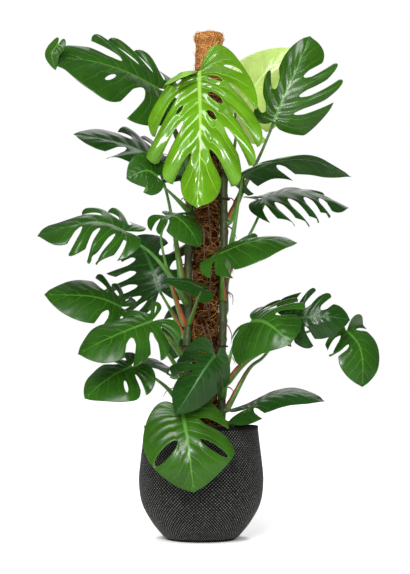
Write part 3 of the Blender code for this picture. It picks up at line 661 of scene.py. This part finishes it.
def blade_place(t, r, rib, sweep):
    """The flat blade's u and v on vein t, a share r of the way from the midrib to the margin."""
    u, v, origin = outline_at(t)
    out_u, out_v = u - origin, v - rib * (1 - origin)
    bow = VEIN_BOW * np.hypot(out_u, out_v) * r * (1 - r) * (1 - t)
    place_u, place_v = origin + out_u * r - bow, rib * (1 - origin) + out_v * r
    return place_u + sweep * (place_v / WIDEST) ** SWEEP_POWER, place_v


def opening(gaps, r):
    """How far a seam stands open at each r: a gap with no end runs out through the margin."""
    wide = np.zeros_like(r)
    for first, last, gap in gaps:
        if last is None:
            share = np.clip((r - first) / ((1 - first) * CUT_ROUNDING), 0.0, 1.0)
            wide = np.maximum(wide, gap * np.sqrt(share))
        else:
            share = np.clip((r - first) / (last - first), 0.0, 1.0)
            wide = np.maximum(wide, gap * 2 * np.sqrt(share * (1 - share)))
    return wide


def snapped(share):
    """The share at the nearest row of points between midrib and margin."""
    return round(share * BLADE_ROWS) / BLADE_ROWS


def seams_of(spec):
    """The half's seams in order: where each lies, with its gaps, each from a share to a share or to None."""
    seams = {}
    for place, inner, gap in spec["split"]:
        seams.setdefault(place, []).append((snapped(inner), None, gap))
    for place, first, last, gap in spec["holes"]:
        seams.setdefault(place, []).append((snapped(first), snapped(last), gap))
    return sorted(seams.items())


def cut_start(gaps):
    """Where a seam's cut to the margin starts, or None."""
    return min((first for first, last, _ in gaps if last is None), default=None)


def flat_half(spec):
    """The half as fingers, each with grids of t, r, vein phase, droop and whether a point is on an edge."""
    rows = np.linspace(0.0, 1.0, BLADE_ROWS + 1)
    seams = [(0.0, []), *seams_of(spec), (1.0, [])]
    fingers = []
    for (start, low), (end, high) in zip(seams, seams[1:]):
        count = max(3, math.ceil((end - start) / BLADE_COLUMN))
        f = np.linspace(0.0, 1.0, count + 1)[:, None]
        r = np.broadcast_to(rows, (count + 1, BLADE_ROWS + 1)).copy()
        low_open, high_open = opening(low, rows), opening(high, rows)
        t = (1 - f) * (start + low_open) + f * (end - high_open)
        low_cut, high_cut = cut_start(low), cut_start(high)
        reach = np.ones_like(f)
        if low_cut is not None and high_cut is not None:
            inner, across = (1 - f) * low_cut + f * high_cut, np.abs(2 * f - 1)
            reach = reach - FINGER_POINT * (1 - f) ** 2
        elif low_cut is not None:
            inner, across = np.full_like(f, low_cut), 1 - f
            reach = reach - FINGER_POINT * (1 - f) ** 4
        elif high_cut is not None:
            inner, across = np.full_like(f, high_cut), f
        else:
            inner, across = np.ones_like(f), 0 * f
        if high_cut is not None:
            reach = reach - FINGER_ROUNDING * f**7
        shrunk = inner + (r - inner) * (reach - inner) / np.maximum(1 - inner, 1e-9)
        r = np.where(r > inner, shrunk, r)
        phase = f * max(1, round((end - start) / VEIN_SPACING)) + 0 * r
        margin = (np.arange(BLADE_ROWS + 1) == BLADE_ROWS) + 0 * r
        margin[0] = np.maximum(margin[0], low_open > 0)
        margin[-1] = np.maximum(margin[-1], high_open > 0)
        fingers.append((t, r, phase, across**2 * np.maximum(r - inner, 0.0), margin))
    return fingers


def midrib_frames(row):
    """Points along the midrib, the tangent and the upper face's direction at each, and its length."""
    points = evenly(smooth_path(row["midrib"], 4 * MIDRIB_POINTS), MIDRIB_POINTS)
    tangents = unit(np.vstack([points[1:], points[-1:]]) - np.vstack([points[:1], points[:-1]]))
    ups = []
    up = row["facing"]
    for tangent in tangents:
        up = unit(up - (up @ tangent) * tangent)
        ups.append(up)
    length = np.linalg.norm(np.diff(points, axis=0), axis=1).sum()
    return points, tangents, np.array(ups), length


def raised(row, frames, u, v, side, lift):
    """The flat blade's places in space, lift above the curved surface."""
    points, tangents, ups, length = frames
    along = np.clip(u, 0.0, 1.0) * (len(points) - 1)
    i = np.minimum(along.astype(int), len(points) - 2)
    f = (along - i)[..., None]
    point = points[i] * (1 - f) + points[i + 1] * f
    tangent = unit(tangents[i] * (1 - f) + tangents[i + 1] * f)
    up = unit(ups[i] * (1 - f) + ups[i + 1] * f)
    right = np.cross(tangent, up) * side
    spec = row["halves"][side]
    distance = v * length * spec["width"]
    behind = (np.maximum(-u, 0.0) * length)[..., None]
    back = row["back"] if spec["back"] is None else spec["back"]
    point = point + (math.sin(back) * up - math.cos(back) * tangent) * behind
    bend = spec["curl"] / (0.5 * length)
    angle = spec["rise"] + bend * distance
    if abs(bend) < 1e-6:
        out, height = distance * np.cos(angle), distance * np.sin(angle)
    else:
        out = (np.sin(angle) - math.sin(spec["rise"])) / bend
        height = (math.cos(spec["rise"]) - np.cos(angle)) / bend
    normal = up * np.cos(angle)[..., None] - right * np.sin(angle)[..., None]
    return point + right * out[..., None] + up * height[..., None] + normal * lift[..., None]


def relief(row, length, t, r, phase, droop, side):
    """How far the surface stands above the plain blade: puckers, drooping finger edges and waves."""
    near = (r / PUCKER_REACH) * np.exp(1 - r / PUCKER_REACH)
    pucker = PUCKER_HEIGHT * length * row["pucker"] * np.cos(math.tau * phase) * near
    seed = row["seed"] + (0.37 if side < 0 else 0.0)
    wave = sum(height * np.sin(math.tau * (turns * t + shift * seed)) for turns, shift, height in WAVES)
    fade = np.sin(math.pi * np.clip(t, 0.0, 1.0)) ** 0.5
    return pucker * fade + wave * length * r**2 * fade - EDGE_DROOP * length * droop


def blade(name, row, materials):
    """A leaf's blade: fingers on both sides, joined by a strip along the midrib."""
    frames = midrib_frames(row)
    length = frames[3]
    rib = MIDRIB_HALF_WIDTH / length
    index, points, marks, faces = {}, [], [], []

    def add_face(corners):
        ring = [c for i, c in enumerate(corners) if c != corners[i - 1]]
        if len(set(ring)) > 2:
            faces.append(ring)

    chains = {}
    for side in (1, -1):
        chain = []
        for t, r, phase, droop, margin in flat_half(row["halves"][side]):
            u, v = blade_place(t, r, rib, row["halves"][side]["sweep"])
            place = raised(row, frames, u, v, side, relief(row, length, t, r, phase, droop, side))
            numbers = np.empty(t.shape, int)
            for at in np.ndindex(t.shape):
                key = (round(u[at], 5), round(v[at] * side, 5))
                if key not in index:
                    index[key] = len(points)
                    points.append(place[at])
                    marks.append((phase[at], r[at], margin[at]))
                numbers[at] = index[key]
            for a, b in zip(numbers, numbers[1:]):
                for k in range(BLADE_ROWS):
                    add_face((a[k], a[k + 1], b[k + 1], b[k])[::side])
            chain += [(round(u[c, 0], 5), numbers[c, 0]) for c in range(len(numbers))]
        chains[side] = list(dict.fromkeys(chain))
    right, left = chains[1], chains[-1]
    i = j = 0
    while i < len(right) - 1 or j < len(left) - 1:
        if j == len(left) - 1 or (i < len(right) - 1 and right[i + 1][0] <= left[j + 1][0]):
            add_face((left[j][1], right[i][1], right[i + 1][1]))
            i += 1
        else:
            add_face((left[j][1], right[i][1], left[j + 1][1]))
            j += 1
    piece = build(name, points, faces, materials, attributes={"leaf": np.array(marks)})
    solidify = piece.modifiers.new("Thickness", "SOLIDIFY")
    solidify.thickness = LEAF_THICKNESS
    solidify.offset = 0.0
    solidify.material_offset = 1
    return piece


# Pole, stems and stalks: the same sizes as the solids

POLE_FOOT = np.array((0.003, 0.01, 0.03))
POLE_TOP = np.array((0.019, 0.01, 1.192))
POLE_RADIUS = 0.032
STEM_RADIUS = 0.01
STEM_TURNS = {"left": 195.0, "right": -15.0, "back": 85.0}
STEM_TOPS = {"left": 0.95, "right": 0.9, "back": 0.9}
TIES = {"lower_tie": 0.445, "upper_tie": 0.79}
SOIL_TOP = 0.242
POLE_END = ((0.004, -0.001), (0.01, 0.004), (0.016, 0.012))  # its closing rings: how far in, and down
CUFF_HEIGHT, CREASE_HEIGHT = 1.178, 1.16
SHADE_EDGE_HEIGHT = 1.06  # where the coir turns golden; the darker coir below is painted shade of the leaves
COIR_FOOT = 0.235  # the lowest fibres
FIBRES = 2600
TWINE_RADIUS, TWINE_STEPS, TWINE_TURNS = 0.001, 420, 56


def pole_axis(height):
    height = np.asarray(height, float)
    share = (height - POLE_FOOT[2]) / (POLE_TOP[2] - POLE_FOOT[2])
    return POLE_FOOT + (POLE_TOP - POLE_FOOT) * share[..., None]


def stem_out(stem):
    return around(math.radians(STEM_TURNS[stem]))


def stem_axis(stem, height):
    return pole_axis(height) + stem_out(stem) * (POLE_RADIUS + STEM_RADIUS)


def petiole_parts(row):
    """The stalk from the stem to the blade, and the midrib that it runs on into."""
    points, _, ups, length = midrib_frames(row)
    centre = stem_axis(row["stem"], row["height"])
    turn = unit((row["route"][0] - centre) * (1.0, 1.0, 0.0))
    start = centre + turn * STEM_RADIUS * 0.6
    end = points[0] - ups[0] * 0.0028
    knee = end - ups[0] * 0.012
    stalk = smooth_path([start, start + turn * 0.008, *row["route"], knee, end], 16 + 10 * len(row["route"]))
    return evenly(stalk, PETIOLE_POINTS), points[2:] - ups[2:] * 0.0006, length


def petiole(name, row, materials):
    """A leaf's stalk and midrib: materials are for its skin, the sheath's wings and the midrib."""
    stalk, rib, length = petiole_parts(row)
    share = np.linspace(0.0, 1.0, len(stalk))
    base, neck = 0.005 + 0.018 * length, 0.002 + 0.0056 * length
    radii = neck + (base - neck) * np.clip(1 - share / 0.75, 0.0, 1.0) ** 1.3
    radii *= 1 + 0.28 * bell(share, 0.95, 0.05)
    fins = 0.38 * base * np.clip(1 - share / 0.5, 0.0, 1.0)
    fins *= 1 + 0.25 * np.sin(share * 70 + row["seed"] * 9)
    fall = np.linspace(0.0, 1.0, len(rib))
    rib_radii = (0.0006 + 0.0021 * length) * (1 - fall) ** 0.8 + 0.0003
    points, faces, kinds = sweep(
        np.vstack([stalk[:-1], rib]), np.concatenate([radii[:-1], rib_radii]), PETIOLE_SIDES,
        fins=np.concatenate([fins[:-1], 0 * fall]),
    )
    kinds = [2 if max(face) >= PETIOLE_SIDES * len(stalk) else kind for face, kind in zip(faces, kinds)]
    return build(name, points, faces, materials, kinds)


def stem_piece(stem, material):
    """A climbing stem, thicker at each leaf scar and grooved above it."""
    heights = np.arange(SOIL_TOP - 0.03, STEM_TOPS[stem], 0.004)
    shift = len(stem)
    wobble = np.stack([np.sin(heights * 31 + shift), np.cos(heights * 27 + shift), 0 * heights], axis=1)
    scars = np.arange(SOIL_TOP + 0.01, STEM_TOPS[stem], 0.042)
    bulge = sum(bell(heights, height, 0.006) for height in scars)
    groove = sum(bell(heights, height + 0.007, 0.0025) for height in scars)
    radii = STEM_RADIUS * (0.9 + 0.16 * bulge - 0.07 * groove)
    radii *= np.clip((STEM_TOPS[stem] - heights) / 0.06, 0.05, 1.0) ** 0.5
    part = sweep(stem_axis(stem, heights) + 0.0012 * wobble, radii, 16, start=(1, 0, 0))
    return build_parts(stem + "_vine", [part], material)


def root(start, out, length, radius, rng):
    """An aerial root that leaves along out and turns down."""
    steps = 18
    place, heading = start, unit(out)
    path = [place]
    for _ in range(steps - 1):
        heading = unit(heading + rng.normal(0, 0.16, 3) - 0.16 * UP)
        place = place + heading * length / steps
        path.append(place)
    share = np.linspace(0.0, 1.0, steps)
    return sweep(path, radius * (1 - 0.75 * share**1.5), 7)


def add_roots(material):
    """Short roots in the air and longer ones that cling to the pole."""
    rng = np.random.default_rng(5)
    parts = []
    for stem, stem_turn in STEM_TURNS.items():
        for height in np.arange(SOIL_TOP + 0.03, STEM_TOPS[stem] - 0.1, 0.075):
            for _ in range(2):
                out = around(math.radians(stem_turn + rng.uniform(-85, 85))) + UP * rng.uniform(-0.3, 0.3)
                start = stem_axis(stem, height) + out * STEM_RADIUS * 0.7
                parts.append(root(start, out, rng.uniform(0.02, 0.07), rng.uniform(0.0011, 0.0022), rng))
            turn = math.radians(stem_turn + rng.choice((-1, 1)) * rng.uniform(60, 100))
            heights = height - np.linspace(0, rng.uniform(0.06, 0.14), 16)
            angles = turn + np.linspace(0, rng.uniform(-0.9, 0.9), 16)
            reach = POLE_RADIUS + 0.0025 + 0.001 * np.sin(np.arange(16))
            path = pole_axis(heights) + reach[:, None] * around(angles)
            parts.append(sweep(path, np.linspace(0.0022, 0.0009, 16), 7))
    return build_parts("aerial_roots", parts, material)


def add_pole_core(rng, material):
    """The rough coir mat, closed at its top by rings that step inwards."""
    steps, rows = 128, 300
    rough = rng.normal(0, 1, (rows, steps))
    for _ in range(3):
        near = np.roll(rough, 1, 0) + np.roll(rough, -1, 0) + np.roll(rough, 1, 1) + np.roll(rough, -1, 1)
        rough = (rough + near) / 5
    rough /= rough.std()
    heights = np.linspace(POLE_FOOT[2] + 0.18, POLE_TOP[2] - 0.004, rows)
    reach = pole_reach(heights)[:, None] - 0.0015 + 0.0008 * rough
    axis = pole_axis(heights)
    spokes = around(np.arange(steps) * math.tau / steps)
    points = (axis[:, None, :] + reach[..., None] * spokes).reshape(-1, 3)
    rings = [axis[-1] + (reach[-1] - inset)[:, None] * spokes - UP * drop for inset, drop in POLE_END]
    rings.append(axis[-1] + 0.0005 * spokes - UP * 0.013)
    points = np.vstack([points, *rings])
    # the mat darker low down, under the leaves: painted shade
    shade = np.clip(pole_painted_shade(points[:, 2]) - 0.25 + rng.normal(0, 0.06, len(points)), 0, 1)
    faces = grid_faces(rows + len(rings), steps)
    return build("coir_core", points, faces, [material], attributes={"shade": shade})


def add_fibres(rng, material):
    """Loose fibres laid over the mat, a few of them standing off it."""
    parts, shades = [], []
    for _ in range(FIBRES):
        height, angle = rng.uniform(COIR_FOOT, 1.187), rng.uniform(0, math.tau)
        slope = rng.normal(0, 0.75)
        length = rng.uniform(0.018, 0.06)
        share = np.linspace(-0.5, 0.5, 7)
        z = height + share * length * math.sin(slope) + 0.0015 * np.sin(share * 9 + angle)
        z = np.clip(z, COIR_FOOT, POLE_TOP[2] - 0.002)
        turn = angle + share * length * math.cos(slope) / POLE_RADIUS
        turn += 0.03 * np.sin(share * 11 + height * 90)
        lift = rng.uniform(-0.0006, 0.0013) + rng.uniform(0.0004, 0.0016) * (2 * share) ** 2
        if rng.random() < 0.05:
            lift = lift + 0.006 * np.clip(share, 0, 1) * 2
        path = pole_axis(z) + (pole_reach(z) + lift)[:, None] * around(turn)
        parts.append(sweep(path, rng.uniform(0.0004, 0.0008), 3))
        # fibres darker low down, under the leaves: painted shade
        shades.append(np.clip(pole_painted_shade(height) + rng.normal(0, 0.2), 0, 1))
    return build_parts("coir_fibres", parts, material, shades)


def pole_reach(heights):
    """The pole's radius: the rolled cuff stands proud below the top, over a crease."""
    cuff = np.exp(-(((heights - CUFF_HEIGHT) / 0.009) ** 4))
    return POLE_RADIUS - 0.0005 + 0.0032 * cuff - 0.001 * bell(heights, CREASE_HEIGHT, 0.006)


def pole_painted_shade(heights):
    """From 0, dark, to 1, golden: the coir darker below the leaves' top is painted shade."""
    return 0.22 + 0.66 / (1 + np.exp(-(heights - SHADE_EDGE_HEIGHT) / 0.03))


def add_tie(name, height, material):
    """Two-ply twine pulled tight round the pole and its stems."""
    circle = around(np.linspace(0, math.tau, 60, endpoint=False))[:, :2]
    centres = [(pole_axis(height), POLE_RADIUS + 0.002)]
    centres += [(stem_axis(stem, height), STEM_RADIUS + 0.001) for stem in STEM_TURNS]
    spots = np.concatenate([centre[:2] + radius * circle for centre, radius in centres])
    middle = spots.mean(axis=0)
    angles = np.linspace(0, math.tau, 360, endpoint=False)
    band = ((spots - middle) @ around(angles)[:, :2].T).max(axis=0)
    slope = np.gradient(np.concatenate([band[-1:], band, band[:1]]), angles[1])[1:-1]
    x = middle[0] + band * np.cos(angles) - slope * np.sin(angles)
    y = middle[1] + band * np.sin(angles) + slope * np.cos(angles)
    path = np.stack([x, y, np.full(len(angles), height)], axis=1)
    path = np.vstack([path[:1], path[1:][np.linalg.norm(np.diff(path, axis=0), axis=1) > 1e-5]])
    loop = evenly(np.vstack([path, path[:1]]), TWINE_STEPS + 1)[:-1]
    out = unit((loop - (*middle, 0.0)) * (1.0, 1.0, 0.0))
    twist = (np.arange(TWINE_STEPS) * math.tau * TWINE_TURNS / TWINE_STEPS)[:, None]
    parts = []
    for strand in (0.0, math.pi):
        offset = TWINE_RADIUS * (out * np.cos(twist + strand) + UP * np.sin(twist + strand))
        parts.append(sweep(loop + out * 0.0012 + offset, TWINE_RADIUS, 6, closed=True))
    return build_parts(name, parts, material)


# Pot, soil and bark

POT_PROFILE = (  # heights and radii of the outside
    (0.0, 0.079),
    (0.012, 0.091),
    (0.042, 0.115),
    (0.084, 0.137),
    (0.133, 0.144),
    (0.18, 0.1405),
    (0.225, 0.135),
    (0.261, 0.131),
)
POT_FOOT = ((0.001, 0.002), (0.07, 0.002), (0.074, 0.0), (0.078, 0.0003))  # radii and heights
POT_RIM = (  # out from the profile's last point and up
    (0.0012, -0.0055), (0.0018, -0.004), (0.0018, -0.0015), (0.0008, 0.0), (-0.002, 0.0006),
)
POT_WALL = 0.006
POT_FLOOR = 0.012
STITCH_ROWS = 68
STITCHES = 108  # in each row
CHIPS = 430
SOIL_RADIUS = 0.11
STITCH_LEAN = math.radians(36)
STITCH_FOOT, STITCH_TOP = 0.006, 0.2535  # heights between which the pot is woven


def pot_outline(count):
    """Heights and radii evenly up the pot's outside."""
    points = np.array([(radius, 0.0, height) for height, radius in POT_PROFILE])
    path = evenly(smooth_path(points, 400), count)
    return path[:, 2], path[:, 0]


def add_pot(material):
    """The pot's plain body: foot, outside, rim, lip, inside and floor."""
    heights, radii = pot_outline(60)
    top, radius = POT_PROFILE[-1]
    below_rim = heights < top - 0.006
    outside = list(zip(radii[below_rim], heights[below_rim]))[1:]
    rim = [(radius + out, top + up) for out, up in POT_RIM]
    lip = [(radius - POT_WALL + 0.0015, top + 0.0002), (radius - POT_WALL, top - 0.0015)]
    inside = [(np.interp(h, heights, radii) - POT_WALL, h) for h in np.linspace(top - 0.004, POT_FLOOR, 24)]
    profile = [*POT_FOOT, *outside, *rim, *lip, *inside, (0.001, POT_FLOOR)]
    return build("pot_body", *turned(profile, 160), [material])


def add_weave(material):
    """The pot's stitches: rows of low six-sided pads that lean left and right by turns."""
    heights, radii = pot_outline(800)
    lengths = np.concatenate([[0.0], np.cumsum(np.hypot(np.diff(heights), np.diff(radii)))])
    low, high = np.interp((STITCH_FOOT, STITCH_TOP), heights, lengths)
    pitch = (high - low) / STITCH_ROWS
    rng = np.random.default_rng(3)
    corner = np.arange(6) * math.tau / 6
    pad = [tuple(range(6, 12))] + [(k, (k + 1) % 6, 6 + (k + 1) % 6, 6 + k) for k in range(6)]
    parts, shades = [], []
    for row in range(STITCH_ROWS):
        place = low + (row + 0.5) * pitch
        beside = (place - 0.001, place, place + 0.001)
        below, radius, above = np.interp(beside, lengths, radii)
        foot, height, top = np.interp(beside, lengths, heights)
        rise = unit(np.array((above - below, top - foot)))
        lean = STITCH_LEAN * (1 if row % 2 else -1)
        step = math.tau * radius / STITCHES
        along, across = 0.34 * step * np.cos(corner), 0.33 * pitch * np.sin(corner) * 1.15
        flat_x = (along * math.cos(lean) - across * math.sin(lean))[:, None]
        flat_y = (along * math.sin(lean) + across * math.cos(lean))[:, None]
        places = np.arange(STITCHES) + 0.5 * (row % 2) + rng.normal(0, 0.02, STITCHES)
        for angle in places * math.tau / STITCHES:
            out, side = around(angle), around(angle + math.pi / 2)
            flat = flat_x * side + flat_y * (out * rise[0] + UP * rise[1])
            normal = out * rise[1] - UP * rise[0]
            centre = out * radius + UP * height
            sunk, crest = centre + flat - 0.0003 * normal, centre + 0.62 * flat + 0.0006 * normal
            parts.append((np.vstack([sunk, crest]), pad))
        shades += list(np.clip(rng.normal(0.5, 0.16, STITCHES), 0, 1))
    return build_parts("pot_weave", parts, material, shades)


def add_grow_pot(material):
    """The plain pot that the plant grows in, inside the woven one."""
    foot, rim = POT_FLOOR + 0.0005, POT_FLOOR + 0.218
    profile = [(0.001, foot), (0.073, foot), (0.074, foot + 0.001)]
    profile += [(0.1125, rim - 0.006), (0.1145, rim - 0.0055), (0.1148, rim - 0.0005)]
    profile += [(0.114, rim), (0.1115, rim), (0.1108, rim - 0.002)]
    profile += [(0.0722, foot + 0.003), (0.001, foot + 0.002)]
    return build("grow_pot", *turned(profile, 120), [material])


def add_soil(rng, material):
    """The soil's surface, which falls off at its edge."""
    rings, steps = 26, 90
    radii = np.linspace(0.001, 0.1105, rings)[:, None]
    rough = rng.normal(0, 1, (rings, steps))
    for _ in range(2):
        rough = (rough + np.roll(rough, 1, 1) + np.roll(rough, -1, 1)) / 3
    heights = SOIL_TOP + 0.002 * rough - 0.01 * (radii / SOIL_RADIUS) ** 6
    spokes = around(np.arange(steps) * math.tau / steps)
    points = (radii[..., None] * spokes + heights[..., None] * UP).reshape(-1, 3)
    faces = [(a, d, c, b) for a, b, c, d in grid_faces(rings, steps)]
    shade = np.clip(0.2 + 0.1 * rough.reshape(-1), 0, 1)
    return build("soil_bed", points, faces, [material], attributes={"shade": shade})


def add_bark(rng, material):
    """Chips of bark, each a bent and tilted pebble, heaped in a ring round the stems."""
    shape = bmesh.new()
    bmesh.ops.create_icosphere(shape, subdivisions=2, radius=1.0)
    ball = np.array([v.co for v in shape.verts])
    ball_faces = [tuple(v.index for v in f.verts) for f in shape.faces]
    shape.free()
    parts, shades = [], []
    for _ in range(CHIPS):
        size = np.array((rng.uniform(0.006, 0.017), rng.uniform(0.004, 0.009), rng.uniform(0.002, 0.005)))
        chip = np.sign(ball) * np.abs(ball) ** 0.65 * size
        bends = rng.normal(0, 1, (3, 3)) * 260
        chip = chip * (1 + 0.22 * np.sin(chip @ bends.T + rng.uniform(0, 6, 3)))
        turn = rng.uniform(0, math.tau)
        tilt = rng.normal(0, 0.35, 2)
        chip = chip @ np.array(Euler((*tilt, turn), "YXZ").to_matrix()).T
        distance, angle = 0.104 * math.sqrt(rng.uniform(0.0, 1.0)), rng.uniform(0, math.tau)
        height = SOIL_TOP + rng.uniform(0.0, 0.009)
        height += 0.01 * bell(distance, 0.055, 0.03) - 0.006 * (distance / SOIL_RADIUS) ** 6
        parts.append((chip + distance * around(angle) + height * UP, ball_faces))
        shades.append(rng.uniform(0, 1))
    return build_parts("bark_chips", parts, material, shades)


# Scene


def add_facing(name, data, place, target):
    """An object of the data, at a place and turned to the target."""
    added = bpy.data.objects.new(name, data)
    added.location = place
    added.rotation_euler = (Vector(target) - added.location).to_track_quat("-Z", "Y").to_euler()
    bpy.context.scene.collection.objects.link(added)
    return added


def add_camera():
    data = bpy.data.cameras.new("camera")
    data.sensor_fit = "VERTICAL"
    data.sensor_height = SENSOR
    data.lens = SENSOR * (TARGET - EYE).length / VIEW_HEIGHT
    bpy.context.scene.camera = add_facing("camera", data, EYE, TARGET)


def add_light(name, kind, place, target, energy, **settings):
    data = bpy.data.lights.new(name, kind)
    data.energy = energy
    for label, value in settings.items():
        setattr(data, label, value)
    add_facing(name, data, place, target)


def add_studio():
    """A bright even room, three lights and a floor that glows away from the pot: its dimmer glow round the
    pot's foot is a painted shadow.
    """
    world = bpy.data.worlds.new("studio")
    world.use_nodes = True
    tree = world.node_tree
    rays = node(tree, "LightPath").outputs
    dimmed = maths(tree, "MULTIPLY", rays["Is Glossy Ray"], AMBIENT_GLOSS - AMBIENT)
    strength = maths(tree, "ADD", AMBIENT, dimmed)
    strength = maths(tree, "MAXIMUM", strength, rays["Is Camera Ray"])
    tree.links.new(strength, tree.nodes["Background"].inputs["Strength"])
    tree.nodes["Background"].inputs["Color"].default_value = (1.0, 1.0, 1.0, 1.0)
    bpy.context.scene.world = world
    bpy.context.scene.view_settings.view_transform = "Standard"
    add_light("rim", "AREA", (0.3, 2.2, 2.4), (0.0, 0.0, 0.8), 16.0, shape="DISK", size=2.4)
    add_light("front", "AREA", (-0.1, -2.6, 1.25), (0.0, 0.0, 0.4), 34.0, shape="DISK", size=0.5)
    add_light("sun", "SUN", (-0.8, -2.5, 2.7), (0.0, 0.0, 0.5), 2.5, angle=math.radians(24))
    material, tree, shader = new_material(
        "floor", Base_Color=(0.9, 0.9, 0.9, 1.0), Roughness=0.9, Specular_IOR_Level=0.0,
        Emission_Color=(1.0, 1.0, 1.0, 1.0),
    )
    place = node(tree, "TexCoord").outputs["Object"]
    away = node(tree, "VectorMath", {0: place}, operation="LENGTH").outputs["Value"]
    not_gloss = maths(tree, "SUBTRACT", 1.0, node(tree, "LightPath").outputs["Is Glossy Ray"])
    # the floor glows less within about 0.1 m of the pot's centre: a painted contact shadow
    glow_with_painted_shadow = maths(tree, "MULTIPLY", spread(tree, away, 0.1, 0.122, 0.12, 0.5), not_gloss)
    tree.links.new(glow_with_painted_shadow, shader.inputs["Emission Strength"])
    points, faces = turned([(0.001, 0.0), (30.0, 0.0)], 64)
    floor = build("floor", points - 0.0005 * UP, [f[::-1] for f in faces], [material])


def settle(piece, slot, *nodes):
    """The piece rides with the plant and stands for the named nodes; slot is not used."""
    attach(piece, "root")
    if nodes:
        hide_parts(*nodes)


def main():
    add_camera()
    add_studio()
    leaf_faces = {
        tone: [
            leaf_side(tone + "_upper", upper, vein, 0.24, False, BRIGHT_COAT if tone == "bright" else COAT),
            leaf_side(tone + "_lower", lower, vein, 0.45, True),
        ]
        for tone, (upper, lower, vein) in TONES.items()
    }
    ribs = {
        tone: stalk_material("midrib_" + tone, vein, scaled(vein, 0.8))
        for tone, (_, _, vein) in TONES.items()
    }
    finish = {name: stalk_material(name, *row) for name, row in SKINS.items()}
    finish.update({name: shaded_material(name, *row) for name, row in DRY.items()})

    for k, (name, row) in enumerate(LEAVES.items()):
        tone = row["tone"]
        row["seed"] = (0.618 * (k + 1)) % 1.0
        slot = TONE_SLOTS.get(tone, "leaf_green")
        settle(blade(name + "_leaf", row, leaf_faces[tone]), slot, name + "_blade")
        sheath = finish["sheath_pale" if name == "hero" else "sheath_brown"]
        stalk = petiole(name + "_stalk", row, [finish["stalk_green"], sheath, ribs[tone]])
        settle(stalk, "petiole", name + "_petiole")
    CURLED_TIP["seed"] = 0.5
    settle(blade("top_left_curled_tip", CURLED_TIP, leaf_faces[CURLED_TIP["tone"]]), "leaf_bright")
    for stem in STEM_TURNS:
        settle(stem_piece(stem, finish["vine_bark"]), "vine", stem + "_stem")
    settle(add_roots(finish["root_skin"]), "vine")

    rng = np.random.default_rng(11)
    settle(add_pole_core(rng, finish["coir_mat"]), "coir", "moss_pole", "pole_core")
    settle(add_fibres(rng, finish["coir_fibre"]), "coir")
    for name, height in TIES.items():
        settle(add_tie(name + "_twine", height, finish["twine_strands"]), "twine", name)

    settle(add_pot(finish["pot_ground"]), "pot", "pot")
    settle(add_weave(finish["pot_stitches"]), "pot")
    settle(add_grow_pot(finish["grow_pot_plastic"]), "nursery_plastic", "nursery_pot")
    rng = np.random.default_rng(17)
    settle(add_soil(rng, finish["soil_earth"]), "bark_soil", "soil")
    settle(add_bark(rng, finish["bark_wood"]), "bark_soil")


main()
